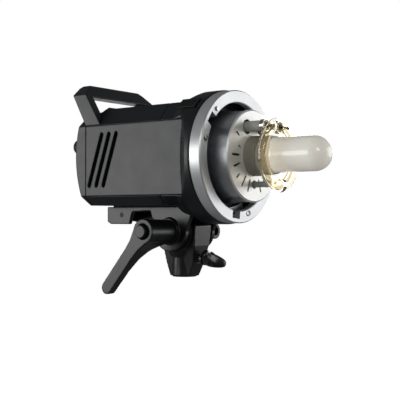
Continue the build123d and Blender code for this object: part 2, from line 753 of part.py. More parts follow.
base = rod_y(lamp_base_r, base_y0, holder_y0 - 0.2)
base = fillet(base.edges().filter_by(lambda e: e.center().Y < base_y0 + 0.1), 1.0)
base -= rod_y(bulb_r + seat, base_y0 - 1, base_y0 + bulb_seat)
parts["lamp_base"] = base
parts["lamp_cap"] = rod_y(lamp_cap_r, holder_y0 - 0.2, holder_y0 + lamp_cap_len - 3) + rod_y(
    3.5, holder_y0 + lamp_cap_len - 3, holder_y0 + lamp_cap_len)



def bulb_solid(r, y0, y1):
    """Round-ended cylinder."""
    return rod_y(r, y0 + r, y1) + Pos(0, y0 + r, 0) * Sphere(r)


glass = bulb_solid(bulb_r, bulb_y0, bulb_y1)
parts["modelling_lamp"] = glass - bulb_solid(bulb_r - bulb_wall, bulb_y0 + bulb_wall, bulb_y1 + 1)


# ---------------------------------------------------------------- flash tube
def build_flash_tube():
    """Glass ring that is open at the top, with a leg back into each post."""
    end_r = hypot(post_x, post_z)
    half_gap = degrees(atan2(post_x, post_z))
    ring = revolve(Pos(tube_ring_r, 0) * Circle(tube_r), Axis.Y, revolution_arc=360 - 2 * half_gap)
    mid = ring.center()
    ring = Rot(0, 180 - degrees(atan2(mid.X, mid.Z)), 0) * ring
    ring = Pos(0, tube_y, 0) * ring
    for x in (-post_x, post_x):
        ring += Pos(x * tube_ring_r / end_r, tube_y, post_z * tube_ring_r / end_r) * Sphere(tube_r)
        ring += rod_y(leg_r, tube_y, tube_y + 16, x, post_z)
    return ring


parts["flash_tube"] = build_flash_tube()

posts = []
clamps = []
for x in (-post_x, post_x):
    post = rod_y(post_r, post_y0, bulkhead_y, x, post_z)
    posts.append(post - rod_y(leg_r + seat, post_y0 - 1, tube_y + 18, x, post_z))
    clamp_y = post_y0 + 0.4
    clamp = rod_y(post_r + clamp_wall, clamp_y, clamp_y + clamp_len, x, post_z)
    clamp -= rod_y(post_r + 0.02, post_y0 - 1, post_y0 + 9, x, post_z)
    clamp += block(x - 2.2, x + 2.2, clamp_y, clamp_y + clamp_len, post_z + post_r + 0.4,
                   post_z + post_r + 3.4)
    clamps.append(clamp)
parts["tube_posts"] = group(posts)
parts["tube_clamps"] = group(clamps)

clip_z = -tube_ring_r
clip = rod_x(tube_r + 1.3, -clip_w / 2, clip_w / 2, tube_y, clip_z)
clip -= rod_x(tube_r + 0.35, -clip_w, clip_w, tube_y, clip_z)
clip += block(-2.0, 2.0, post_end, post_end + 4, -post_z - 3.4, -post_z + 3.4)
parts["trigger_clip"] = clip
parts["support_post"] = rod_y(low_post_r, post_end + 4, bulkhead_y, 0, -post_z)
wire_out = tube_ring_r + tube_r + wire_r + 0.1
wire = revolve(Pos(wire_out, 0) * Circle(wire_r), Axis.Y, revolution_arc=wire_arc)
parts["trigger_wire"] = Pos(0, tube_y, 0) * Rot(0, wire_turn, 0) * wire

# ---------------------------------------------------------------- inside the head
fan_y0 = stem_y0 + stem_len + lock_travel + 1.5
fan_y1 = fan_y0 + fan_depth
half = fan_size / 2
fan_frame = block(-half, half, fan_y0, fan_y1, fan_z - half, fan_z + half)
fan_frame -= rod_y(fan_bore_r, fan_y0 - 1, fan_y1 + 1, 0, fan_z)
for sx in (-1, 1):
    for sz in (-1, 1):
        fan_frame -= rod_y(2.2, fan_y0 - 1, fan_y1 + 1, sx * (half - 5), fan_z + sz * (half - 5))
spokes = rod_y(fan_hub_r, fan_y1 - fan_spoke_t, fan_y1, 0, fan_z)
for i in range(4):
    spoke = block(-1.5, 1.5, fan_y1 - fan_spoke_t, fan_y1, 0, fan_bore_r + 1)
    spokes += Pos(0, 0, fan_z) * around_lamp(spoke, 45 + 90 * i)
fan_frame += spokes
fan_frame -= rod_y(shaft_r + running, fan_y1 - 6, fan_y1 + 1, 0, fan_z)
parts["fan_frame"] = fan_frame
rotor = rod_y(fan_hub_r, fan_y0 + 1, fan_y1 - 3.0)
tip_r = fan_bore_r - fan_gap
for i in range(fan_blades):
    blade = Rot(0, 0, blade_pitch) * Box(blade_w, blade_t, tip_r - fan_hub_r + 4)
    blade = Pos(0, (fan_y0 + fan_y1 - 2) / 2, (tip_r + fan_hub_r) / 2) * blade
    rotor += around_lamp(blade, i * 360 / fan_blades)
rotor &= rod_y(tip_r, fan_y0 + 0.5, fan_y1 - 2.8)
rotor += rod_y(shaft_r, fan_y1 - 3, fan_y1)
parts["fan_rotor"] = Pos(0, 0, fan_z) * rotor

chassis_z = body_low + wall
chassis_y0 = fan_y1 + 3
chassis_y1 = plate_y - plate_t - 26
chassis = block(-low_half_w + 5, low_half_w - 5, chassis_y0, chassis_y1, chassis_z, chassis_z + chassis_t)
cap_z = chassis_z + chassis_t + cap_r
parts["capacitors"] = group([rod_y(cap_r, chassis_y0 + 2, chassis_y0 + 2 + cap_len, x, cap_z)
                             for x in (-cap_r - 1, cap_r + 1)])
board_z = cap_z + cap_r + 4
for sx in (-1, 1):
    for y in (chassis_y0 + 6, chassis_y1 - 8):
        chassis += block(sx * (low_half_w - 8), sx * (low_half_w - 5), y - 3, y + 3, chassis_z, board_z)
parts["chassis"] = chassis
parts["main_board"] = block(-low_half_w - 1, low_half_w + 1, chassis_y0, chassis_y1, board_z,
                            board_z + board_t)
board_top = board_z + board_t
transformer = block(-30, -6, chassis_y0 + 6, chassis_y0 + 30, board_top, board_top + 22)
heat_sink = block(4, 34, chassis_y0 + 8, chassis_y0 + 20, board_top, board_top + 26)
filter_cap = rod_z(8, board_top, board_top + 14, 14, chassis_y0 + 38)
relay = rod_z(6, board_top, board_top + 18, -18, chassis_y0 + 44)
parts["board_components"] = group([transformer, heat_sink, filter_cap, relay])
rear_board_y = switch_y - switch_depth
parts["control_board"] = block(-rear_board_half_w, rear_board_half_w,
                               rear_board_y - board_t, rear_board_y, -5, 28)
pad = block(-bracket_half_w + 3, bracket_half_w - 3, bracket_front + 8, bracket_rear - 8,
            bracket_top, bracket_top + bracket_gap)
parts["bracket_pad"] = Pos(0, 0, -head_z) * pad

head_nodes = list(parts)
for name in head_nodes:
    parts[name] = Pos(0, 0, head_z) * parts[name]

# ---------------------------------------------------------------- tilt bracket
def cheek_outline():
    """Side outline of the bracket, drawn as (y, z): a long channel with a round lobe at the tilt axis."""
    top = bracket_top
    low_rear = top - bracket_drop
    low_mid = top - cheek_drop
    front = along_x(outline([(bracket_front, top), (bracket_front + 1, top - 6), (-lobe_r, tilt_z),
                             (lobe_r, tilt_z), (lobe_r, low_mid), (window_y - 14, low_mid),
                             (window_y - 14, top)]), -bracket_half_w, bracket_half_w)
    rear = outline([(window_y - 15, low_mid), (window_y + 14, low_rear), (bracket_rear - 7, low_rear),
                    (bracket_rear - 2, low_rear + 2.5), (bracket_rear, low_rear + 8), (bracket_rear, top),
                    (window_y - 15, top)])
    rear = along_x(rear, -bracket_half_w, bracket_half_w)
    window = outline([(window_y + 16, low_rear - 2), (window_y + 11.5, top - 4.8),
                      (window_y - 12.0, top - 3.8),
                      (window_y - 15.5, low_mid - 3)])
    window = along_x(window, -bracket_half_w - 1, bracket_half_w + 1)
    window = fillet(window.edges().filter_by(Axis.X).filter_by(lambda e: e.center().Z > low_mid), 2.2)
    return front + rear + rod_x(lobe_r, -bracket_half_w, bracket_half_w, 0, tilt_z) - window


bracket = cheek_outline()
bracket = chamfer(bracket.edges().filter_by(Axis.Z).filter_by(lambda e: e.center().Y > bracket_rear - 1),
                  3.0)
hollow = block(-cheek_in, cheek_in, bracket_front - 1, bracket_rear - 3, tilt_z - lobe_r - 1,
               bracket_top - web_t)
bracket -= hollow
bracket += rod_x(barrel_r + 1.0, -spacer_x, -bracket_half_w, 0, tilt_z)
bolt_bore = rod_x(bolt_r + running, -spacer_x - 1, bracket_half_w + 1, 0, tilt_z)
bracket -= bolt_bore
bracket_screw_spots = [(sx * 11, y) for sx in (-1, 1) for y in (6.0, 66.0)]
for x, y in bracket_screw_spots:
    bracket -= rod_z(m4_shank_d / 2 + seat, bracket_top - 8, bracket_top + 1, x, y)
side_screw_y = window_y + 25
side_screw_z = bracket_top - 8
bracket -= rod_x(1.6, -bracket_half_w - 1, -cheek_in + 1, side_screw_y, side_screw_z)
parts["tilt_bracket"] = bracket

screws = []
for x, y in bracket_screw_spots:
    screw = rod_z(m4_head_d / 2, bracket_top - web_t - m4_head_h, bracket_top - web_t, x, y)
    screw -= rod_z(1.2, bracket_top - web_t - m4_head_h - 1, bracket_top - web_t - 0.8, x, y)
    screws.append(screw + rod_z(m4_shank_d / 2, bracket_top - web_t, screw_end, x, y))
grub = rod_x(1.55, -bracket_half_w + 0.4, -cheek_in, side_screw_y, side_screw_z)
screws.append(grub - rod_x(0.8, -bracket_half_w - 1, -bracket_half_w + 2, side_screw_y, side_screw_z))
parts["bracket_screws"] = group(screws)
for x, y in bracket_screw_spots:
    drill = rod_z(m4_shank_d / 2 + 0.02, bracket_top - 1, bracket_top + 8, x, y)
    parts["bracket_pad"] -= drill
    parts["lower_shell"] -= drill
    parts["chassis"] -= drill
    parts["front_collar"] -= drill

washers = []
for sx in (-1, 1):
    washer = rod_x(washer_r, sx * cheek_in, sx * (cheek_in - washer_t), 0, tilt_z)
    washers.append(washer - rod_x(bolt_r + running, -cheek_in - 1, cheek_in + 1, 0, tilt_z))
parts["friction_washers"] = group(washers)

# ---------------------------------------------------------------- clamp bolt and lever
bolt = rod_x(bolt_r, -thread_end, bracket_half_w + 0.1, 0, tilt_z)
hexagon = Plane.YZ.offset(bracket_half_w + 0.1) * Pos(0, tilt_z) * RegularPolygon(bolt_head_r, 6)
parts["tilt_bolt"] = bolt + extrude(hexagon, bolt_head_t)


def build_lever():
    """Clamp lever: a long barrel, a round head with a recess, and an arm that thins towards its tip."""
    hub = rod_x(barrel_r, -barrel_end, -spacer_x - slip) + rod_x(lever_head_r, -lever_out, -barrel_end)
    tip = lever_tip_r
    neck = lever_neck_r
    arm_top = -lever_head_r + 1
    flat = outline([(-neck - 3.2, arm_top + 4), (-neck - 0.4, arm_top - 6), (-neck + 0.4, arm_top - 16),
                    (-tip, tip - lever_len), (tip, tip - lever_len), (neck - 0.4, arm_top - 16),
                    (neck + 0.4, arm_top - 6), (neck + 3.2, arm_top + 4)])
    arm = along_x(flat, -lever_out, -spacer_x) + rod_x(tip, -lever_out, -spacer_x, 0, tip - lever_len)
    back = -lever_out + lever_t
    taper = outline([(-lever_out, 0), (-lever_out, -lever_len - 1), (back, -lever_len - 1),
                     (back + 1, -44),
                     (back + 4, -30), (back + 9, -20), (back + 17, -12), (back + 24, -7), (back + 24, 0)])
    lever = hub + (arm & along_y(taper, -20, 20))
    lever -= rod_x(lever_recess_r, -lever_out - 1, -lever_out + lever_recess)
    return lever - rod_x(bolt_r, -thread_end, 0)


lever = Pos(0, 0, tilt_z) * Rot(lever_angle, 0, 0) * build_lever()
parts["clamp_lever"] = lever
button_bed = -lever_out + lever_recess
button = rod_x(lever_button_r, -lever_out - lever_button_out, button_bed - lever_button_travel - 0.2, 0,
               tilt_z)
parts["lever_button"] = fillet(button.edges().filter_by(lambda e: e.center().X < -lever_out), 0.9)


# ---------------------------------------------------------------- stand casting
def build_ribs():
    """Front and rear ribs of the casting, which widen upwards."""
    front = outline([(0, 1), (-boss_r, 1), (-17.4, 14), (-21.0, 30), (-22.8, rib_top - 3),
                     (-20.5, rib_top),
                     (-14, rib_top), (0, tilt_z)])
    rear = outline([(0, 1), (boss_r, 1), (15.2, 14), (17.5, 29), (16.5, 34), (12, 38), (0, 40)])
    widths = outline([(-rib_low_half_w, 0), (rib_low_half_w, 0), (rib_half_w, rib_taper_top),
                      (rib_half_w, rib_top),
                      (-rib_half_w, rib_top), (-rib_half_w, rib_taper_top)])
    ribs = along_x(front, -rib_half_w, rib_half_w) + along_x(rear, -rib_half_w, rib_half_w)
    return ribs & along_y(widths, -30, 30)


def build_lug():
    """Umbrella eye beside the bracket, on a web that rises from the casting past the bolt's head."""
    neck = lug_x - lug_r
    clear_z = tilt_z - lobe_r - 1.5
    web = outline([(8, 8), (17, 13), (bracket_half_w + 1, 19), (29.7, 28.4),
                   (lug_x + 2, lug_z - lug_r + 0.4),
                   (lug_x + 2, lug_z), (neck, lug_z), (neck, lug_z - 6.5), (26.4, 30),
                   (bracket_half_w + 1.2, clear_z), (8, clear_z)])
    return along_y(web, -lug_web_half, lug_web_half) + rod_y(lug_r, -lug_len / 2, lug_len / 2, lug_x, lug_z)


def build_casting():
    """Socket casting: a round boss, a tongue between the cheeks, two ribs and the umbrella lug."""
    profile = outline([(0, 0), (boss_r - 0.8, 0), (boss_r, 0.8), (boss_r, shoulder_z - 6),
                       (shoulder_r, shoulder_z), (shoulder_r, shoulder_z + 6), (0, shoulder_z + 6)])
    boss = revolve(profile.rotate(Axis.X, 90), Axis.Z)
    tongue = rod_x(tongue_r, -tongue_half, tongue_half, 0, tilt_z)
    tongue -= block(-tongue_half + 5, tongue_half - 5, 4, tongue_r + 1, tilt_z - 9, tilt_z + tongue_r + 1)
    casting = boss + tongue + build_ribs() + build_lug()
    casting -= rod_z(socket_r, -1, socket_depth)
    casting -= rod_x(bolt_r + slip, -tongue_half - 1, tongue_half + 1, 0, tilt_z)
    casting -= rod_y(clamp_screw_r + running, -40, 0, 0, clamp_z)
    casting -= rod_y(lug_hole_r, -lug_len, lug_len, lug_x, lug_z)
    return casting


parts["stand_casting"] = build_casting()

# ---------------------------------------------------------------- wing screw
pad_y = -socket_r - 0.9
screw_front = wing_back + 7
parts["clamp_pad"] = rod_y(clamp_pad_r, pad_y - clamp_pad_t, pad_y, 0, clamp_z)
parts["clamp_screw"] = rod_y(clamp_screw_r, -screw_front, pad_y - clamp_pad_t, 0, clamp_z)


def build_wing_knob():
    """Knob with two swept wings that thin towards their tips."""
    hub = rod_y(wing_hub_r, -wing_back - 10.5, -wing_back)
    swept = outline([(0, -wing_back - 0.5), (5, -wing_back - 0.5), (10, -wing_back - 3.0),
                     (15, -wing_back - 8.0),
                     (wing_half_w, -wing_front + 3.6), (wing_half_w - 0.4, -wing_front + 1.0),
                     (wing_half_w - 2.7, -wing_front), (9, -wing_front + 2.1), (4, -wing_front + 4.1),
                     (0, -wing_front + 4.4)])
    crest = outline([(0, -wing_h / 2), (6, -wing_h / 2 + 0.2), (12, -wing_h / 2 + 1.8),
                     (wing_half_w, -wing_tip_h / 2),
                     (wing_half_w, wing_tip_h / 2), (12, wing_h / 2 - 1.8), (6, wing_h / 2 - 0.2),
                     (0, wing_h / 2)])
    wing = along_z(swept, -wing_h / 2, wing_h / 2) & along_y(crest, -wing_front - 1, -wing_back)
    return hub + wing + mirrored(wing) - rod_y(clamp_screw_r, -screw_front, -wing_back + 2)


parts["wing_knob"] = Pos(0, 0, clamp_z) * Rot(0, wing_angle, 0) * build_wing_knob()

# ---------------------------------------------------------------- files
os.makedirs("parts", exist_ok=True)
for name, shape in parts.items():
    export_step(shape, f"parts/{name}.step")
print(len(parts), "nodes written")
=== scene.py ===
"""Looks of a monolight studio strobe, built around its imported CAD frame.

Everything is in metres in the frame's own axes: the origin is the stand socket's mouth, +Z is up and the lamp
points along -Y. Castings and mouldings get softened skins of their CAD nodes, glass and small fittings are made
here, and the other CAD nodes stay and get their finish.
"""

from __future__ import annotations

import json
import logging
import math
from collections.abc import Sequence
from dataclasses import dataclass
from enum import Enum
from typing import Any

import bmesh
import bpy
from mathutils import Matrix, Vector

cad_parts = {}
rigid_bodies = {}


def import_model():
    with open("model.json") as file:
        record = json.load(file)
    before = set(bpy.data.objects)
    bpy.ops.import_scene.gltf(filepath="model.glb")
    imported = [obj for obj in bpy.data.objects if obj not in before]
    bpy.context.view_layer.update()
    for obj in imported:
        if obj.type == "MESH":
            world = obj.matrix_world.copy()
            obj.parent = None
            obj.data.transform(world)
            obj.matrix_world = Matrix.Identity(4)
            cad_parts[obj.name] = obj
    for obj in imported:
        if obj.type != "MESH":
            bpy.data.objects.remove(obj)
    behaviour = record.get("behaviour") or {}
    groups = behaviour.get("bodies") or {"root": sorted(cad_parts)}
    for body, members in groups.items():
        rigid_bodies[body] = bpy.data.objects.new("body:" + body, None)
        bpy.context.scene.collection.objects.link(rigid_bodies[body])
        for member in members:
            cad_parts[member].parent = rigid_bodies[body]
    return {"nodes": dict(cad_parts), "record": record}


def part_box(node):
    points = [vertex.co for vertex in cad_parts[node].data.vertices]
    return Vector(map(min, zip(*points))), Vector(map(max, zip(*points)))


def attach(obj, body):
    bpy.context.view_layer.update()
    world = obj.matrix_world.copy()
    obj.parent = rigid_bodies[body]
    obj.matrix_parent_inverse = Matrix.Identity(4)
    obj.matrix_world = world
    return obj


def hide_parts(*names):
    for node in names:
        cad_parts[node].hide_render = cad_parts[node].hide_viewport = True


Links = dict[int | str, bpy.types.NodeSocket]
Values = dict[int | str, Any]
Outline = Sequence[tuple[float, float]]

LOG = logging.getLogger("strobe")
MM = 0.001
# CAD vertices nearer than this are one vertex.
WELD = 0.002 * MM
# Edges that turn more than this, in degrees, stay crisp.
CRISP_ANGLE = 32.0


# ------------------------------------------------------------------------------------------------ node helpers
def linear(code: str) -> tuple[float, float, float, float]:
    """Turns an sRGB hex colour to linear.

    Args:
        code: Six hex digits after a hash.

    Returns:
        Linear red, green, blue and an alpha of 1.
    """
    values = [int(code[i : i + 2], 16) / 255 for i in (1, 3, 5)]
    red, green, blue = (v / 12.92 if v <= 0.04045 else ((v + 0.055) / 1.055) ** 2.4 for v in values)
    return red, green, blue, 1.0


def add_node(
    tree: bpy.types.NodeTree, kind: str, links: Links | None = None, values: Values | None = None, **settings: Any
) -> bpy.types.Node:
    """Adds a node with its settings, socket values and incoming links.

    Args:
        tree: The shader or geometry tree.
        kind: The node's type name.
        links: Input socket to the output that feeds it.
        values: Input socket to its own value.
        **settings: Attributes of the node.

    Returns:
        The new node.
    """
    node = tree.nodes.new(kind)
    for key, value in settings.items():
        setattr(node, key, value)
    for key, value in (values or {}).items():
        node.inputs[key].default_value = value
    for key, socket in (links or {}).items():
        tree.links.new(socket, node.inputs[key])
    return node


# ------------------------------------------------------------------------------------------------ finishes
class Grain(Enum):
    """How a surface's fine relief runs."""

    NONE = "none"
    EVEN = "even"
    TURNED = "turned"


@dataclass(frozen=True)
class Finish:
    """An opaque or clear surface with its fine relief and its uneven gloss.

    Attributes:
        name: The material's name.
        colour: Base colour, sRGB.
        shade: Colour of its darker or dirtier patches, sRGB.
        metallic: 1 for bare metal, less under a lacquer.
        roughness: Mean roughness.
        gloss_change: How far the roughness wanders either way.
        grain: How the relief runs.
        grain_mm: Size of one grain.
        relief_mm: Height of the grain.
        ior: Index of refraction of a surface that isn't metal.
        transmission: 1 for clear glass.
        coat: Weight of a clear coat.
        coat_roughness: Roughness of that coat.
        subsurface: Weight of light that scatters inside.
        glow: Emission strength.
        patch_mm: Size of the patches of colour and gloss.
    """

    name: str
    colour: str
    shade: str = ""
    metallic: float = 0.0
    roughness: float = 0.5
    gloss_change: float = 0.04
    grain: Grain = Grain.EVEN
    grain_mm: float = 0.6
    relief_mm: float = 0.02
    ior: float = 1.5
    transmission: float = 0.0
    coat: float = 0.0
    coat_roughness: float = 0.05
    subsurface: float = 0.0
    glow: float = 0.0
    patch_mm: float = 18.0

    def material(self) -> bpy.types.Material:
        """Builds the material once, or finds it.

        Returns:
            The material.
        """
        found = bpy.data.materials.get(self.name)
        if found:
            return found
        made = bpy.data.materials.new(self.name)
        made.use_nodes = True
        made.diffuse_color = linear(self.colour)
        tree = made.node_tree
        tree.nodes.clear()
        shader = add_node(tree, "ShaderNodeBsdfPrincipled", values=self._uniform())
        add_node(tree, "ShaderNodeOutputMaterial", {"Surface": shader.outputs[0]})
        place = add_node(tree, "ShaderNodeTexCoord").outputs["Object"]
        self._patches(tree, shader, place)
        if self.grain is not Grain.NONE:
            self._relief(tree, shader, place)
        return made

    def _uniform(self) -> Values:
        """Gathers what is the same all over the surface.

        Returns:
            Shader input to value.
        """
        values: Values = {
            "Base Color": linear(self.colour),
            "Metallic": self.metallic,
            "Roughness": self.roughness,
            "Transmission Weight": self.transmission,
            "Coat Weight": self.coat,
            "Coat Roughness": self.coat_roughness,
            "Subsurface Weight": self.subsurface,
            "Subsurface Scale": 4 * MM,
        }
        if not self.metallic:
            values["IOR"] = self.ior
        if self.glow:
            values |= {"Emission Color": linear(self.colour), "Emission Strength": self.glow}
        return values

    def _patches(self, tree: bpy.types.NodeTree, shader: bpy.types.Node, place: bpy.types.NodeSocket) -> None:
        """Lets colour and roughness wander over the surface.

        Args:
            tree: The material's tree.
            shader: The surface shader.
            place: Object coordinates.
        """
        scale = 1 / (self.patch_mm * MM)
        cloud = add_node(tree, "ShaderNodeTexNoise", {"Vector": place}, {"Scale": scale, "Detail": 4.0}).outputs[0]
        dullest, glossiest = self.roughness + self.gloss_change, max(0.02, self.roughness - self.gloss_change)
        limits = {"From Min": 0.3, "From Max": 0.7, "To Min": glossiest, "To Max": dullest}
        spread = add_node(tree, "ShaderNodeMapRange", {"Value": cloud}, limits)
        tree.links.new(spread.outputs[0], shader.inputs["Roughness"])
        if self.shade:
            ramp = add_node(tree, "ShaderNodeValToRGB", {"Fac": cloud})
            for stop, at, colour in zip(ramp.color_ramp.elements, (0.35, 0.65), (self.shade, self.colour)):
                stop.position = at
                stop.color = linear(colour)
            tree.links.new(ramp.outputs[0], shader.inputs["Base Color"])

    def _relief(self, tree: bpy.types.NodeTree, shader: bpy.types.Node, place: bpy.types.NodeSocket) -> None:
        """Adds the fine relief that the surface's making leaves.

        Args:
            tree: The material's tree.
            shader: The surface shader.
            place: Object coordinates.
        """
        scale = 1 / (self.grain_mm * MM)
        if self.grain is Grain.TURNED:
            # Tool marks round the lamp's axis. The wave texture takes 20 times the place that it is given.
            centred = add_node(tree, "ShaderNodeMapping", {"Vector": place}, {"Location": (0.0, 0.0, -Layout.AXIS_Z)})
            height = add_node(
                tree,
                "ShaderNodeTexWave",
                {"Vector": centred.outputs[0]},
                {"Scale": scale / 20, "Distortion": 0.6, "Detail": 2.0, "Detail Scale": 3.0},
                wave_type="RINGS",
                rings_direction="Y",
            ).outputs[1]
        else:
            noise = add_node(tree, "ShaderNodeTexNoise", {"Vector": place}, {"Scale": scale, "Detail": 2.0})
            height = noise.outputs[0]
        strength = {"Strength": 1.0, "Distance": self.relief_mm * MM}
        bump = add_node(tree, "ShaderNodeBump", {"Height": height}, strength)
        tree.links.new(bump.outputs[0], shader.inputs["Normal"])


class Finishes:
    """The strobe's finishes, each named for the real material and how it was made."""

    # Polycarbonate from a spark-eroded tool: black with a fine even grain and a soft sheen.
    CASING = Finish(
        "polycarbonate_spark_eroded", "#14171a", "#121518", roughness=0.40, gloss_change=0.02, grain_mm=0.8,
        relief_mm=0.03,
    )
    # Die-cast aluminium under a satin black powder coat: a slightly flowing skin.
    CASTING = Finish(
        "powder_coated_die_casting", "#121416", "#101214", roughness=0.36, gloss_change=0.015, grain_mm=0.9,
        relief_mm=0.014,
    )
    # Satin anodised aluminium, faced on a lathe: a bright ring with a soft radial sheen.
    RING = Finish(
        "anodised_aluminium_turned", "#d2d4d5", "#cbcdce", metallic=0.55, roughness=0.38, grain=Grain.TURNED,
        grain_mm=0.5, relief_mm=0.002,
    )
    # Spun aluminium with a matt lacquer: almost white from the front.
    DISH = Finish(
        "spun_aluminium_lacquered", "#f2f2f0", "#ebebe8", metallic=0.45, roughness=0.42, grain_mm=1.5,
        relief_mm=0.003,
    )
    # The dish's turned side, left bare: bright bands run along it.
    DISH_SIDE = Finish(
        "spun_aluminium_bare", "#d2d5d8", "#cbced1", metallic=1.0, roughness=0.34, gloss_change=0.01,
        grain=Grain.TURNED, grain_mm=0.9, relief_mm=0.0003,
    )
    # Steatite, an unglazed ceramic: warm grey and matt.
    STEATITE = Finish(
        "steatite_pressed", "#a9a899", "#9d9c8e", roughness=0.62, grain_mm=0.3, relief_mm=0.01, subsurface=0.1
    )
    # The same ceramic drawn as a tube: paler and smoother.
    POST = Finish(
        "steatite_tube", "#c6c8bf", "#b9bbb2", roughness=0.5, grain_mm=0.3, relief_mm=0.008, subsurface=0.15
    )
    # Lamp cement: chalky cream.
    LAMP_BASE = Finish("lamp_cement_base", "#c3c1ae", "#b8b6a2", roughness=0.55, grain_mm=0.4, relief_mm=0.01)
    # Glass frosted on the inside: milky, with a sharp outer gloss. Its faint glow is painted light, not light from
    # the lamp itself.
    FROSTED = Finish(
        "glass_frosted_inside", "#eceee4", "#e6e8de", roughness=0.4, grain=Grain.NONE, coat=1.0,
        coat_roughness=0.02, subsurface=0.3, patch_mm=60.0, glow=0.29,
    )
    # Fused quartz with a faint amber cast: clear, with bent edges.
    QUARTZ = Finish(
        "quartz_drawn_tube", "#f4ecd9", roughness=0.02, gloss_change=0.0, grain=Grain.NONE, ior=1.38,
        transmission=1.0,
    )
    # Zinc plate on steel: pale and a little uneven.
    STEEL = Finish(
        "steel_zinc_plated", "#b9bcc0", "#a9acb0", metallic=1.0, roughness=0.3, grain_mm=0.8, relief_mm=0.004
    )
    # Black oxide on steel: dark metal that still shines.
    DARK_STEEL = Finish(
        "steel_black_oxide", "#3a3b3e", "#2f3033", metallic=1.0, roughness=0.38, grain_mm=0.8, relief_mm=0.004
    )
    # Sintered tungsten: dull and dark behind the glass.
    TUNGSTEN = Finish(
        "tungsten_sintered", "#5c5751", "#4b4741", metallic=1.0, roughness=0.5, grain_mm=0.3, relief_mm=0.006
    )
    # Drawn nickel wire: warm, with sharp glints.
    NICKEL = Finish("nickel_wire", "#c9c2b2", "#a79f8e", metallic=1.0, roughness=0.22, grain=Grain.NONE)
    # Turned brass: yellow with a soft shine.
    BRASS = Finish(
        "brass_turned", "#c9a75c", "#b5924a", metallic=1.0, roughness=0.28, grain_mm=0.6, relief_mm=0.004
    )
    # Plain moulded nylon: deep black and fairly matt.
    NYLON = Finish("nylon_moulded_black", "#0f1012", "#0c0d0f", roughness=0.45, grain_mm=0.5, relief_mm=0.01)
    # Textured polycarbonate sheet over the controls: even and matt.
    PLATE = Finish("polycarbonate_sheet_matt", "#141518", "#121316", grain_mm=0.4, relief_mm=0.006)
    # Near-black sheet and wires behind the louvres: painted shade that stands in for the dark inside of the head, so
    # almost no light comes back.
    SHADE_SCREEN = Finish("steel_screen_painted", "#070708", "#050506", roughness=0.7, relief_mm=0.01)
    # ABS straight from a polished tool: nearly glossy.
    ABS_GLOSS = Finish("abs_polished_black", "#0d0e10", "#0b0c0e", roughness=0.26, grain_mm=2.0, relief_mm=0.0004)
    # Moulded silicone: grey and velvety.
    BUTTON = Finish("silicone_grey", "#4a4c50", "#434549", roughness=0.6, grain_mm=0.4, relief_mm=0.01)
    # Dyed acrylic: deep red with a clear gloss.
    RED_WINDOW = Finish(
        "acrylic_red", "#5a0d0d", roughness=0.08, gloss_change=0.01, grain=Grain.NONE, ior=1.49, coat=0.6
    )
    # Smoked acrylic: near black and glossy, so that only lit bars show.
    SMOKED = Finish(
        "acrylic_smoked", "#0b0607", roughness=0.06, gloss_change=0.01, grain=Grain.NONE, ior=1.49, coat=0.5
    )
    # Light-emitting bars, lit and dark.
    DIGIT = Finish("led_red", "#ff2a12", roughness=0.4, gloss_change=0.0, grain=Grain.NONE, glow=2.5)
    DIGIT_OFF = Finish("led_unlit", "#2a0a09", roughness=0.4, gloss_change=0.0, grain=Grain.NONE)
    # Nitrile rubber: dull black.
    RUBBER = Finish("nitrile_rubber", "#161616", "#121212", roughness=0.8, grain_mm=0.4)
    # Pressed friction fibre: brown and rough.
    FIBRE = Finish("friction_fibre", "#3a3128", "#2d261f", roughness=0.85, grain_mm=0.3, relief_mm=0.03)
    # Glass epoxy under green solder mask: dark and slightly glossy.
    BOARD = Finish("glass_epoxy_board", "#0f3a22", "#0c321d", roughness=0.35, grain_mm=0.8, relief_mm=0.01)
    # Shrunk PVC sleeve: blue-black and smooth.
    SLEEVE = Finish("pvc_sleeve", "#14161f", "#10121a", roughness=0.35, grain_mm=3.0, relief_mm=0.01)
    # Backlit white paper: pale everywhere, so that a dark head stands out against it.
    SWEEP = Finish(
        "sweep_paper_backlit", "#f6f6f6", roughness=0.95, gloss_change=0.0, grain_mm=8.0, relief_mm=0.05, glow=0.975
    )
    # Screen-printed ink: flat off-white.
    WHITE_INK = Finish("screen_print_white", "#d8d9da", roughness=0.55, grain=Grain.NONE)


# ------------------------------------------------------------------------------------------------ layout
class Layout:
    """Places that several pieces share."""

    AXIS_Z = 0.113


@dataclass
class Frame:
    """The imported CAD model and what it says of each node.

    Attributes:
        nodes: Node name to its object.
        body_of: Node name to its body.
        slot_of: Node name to its material slot.
    """

    nodes: dict[str, bpy.types.Object]
    body_of: dict[str, str]
    slot_of: dict[str, str]

    @classmethod
    def read(cls) -> Frame:
        """Loads the frame and indexes it.

        Returns:
            The frame.
        """
        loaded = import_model()
        record = loaded["record"]
        bodies = record["behaviour"]["bodies"]
        return cls(
            nodes=loaded["nodes"],
            body_of={node: body for body, members in bodies.items() for node in members},
            slot_of={part["node"]: part["material_slot"] for part in record["subparts"]},
        )


# ------------------------------------------------------------------------------------------------ geometry nodes
SOCKETS = {
    "Count": "NodeSocketInt",
    "Sides": "NodeSocketInt",
    "Radius": "NodeSocketFloat",
    "Bore": "NodeSocketFloat",
    "First": "NodeSocketFloat",
    "Turn": "NodeSocketFloat",
    "Hollow": "NodeSocketBool",
    "Step": "NodeSocketVector",
    "Axis": "NodeSocketVector",
    "Centre": "NodeSocketVector",
    "Part": "NodeSocketObject",
    "Finish": "NodeSocketMaterial",
}


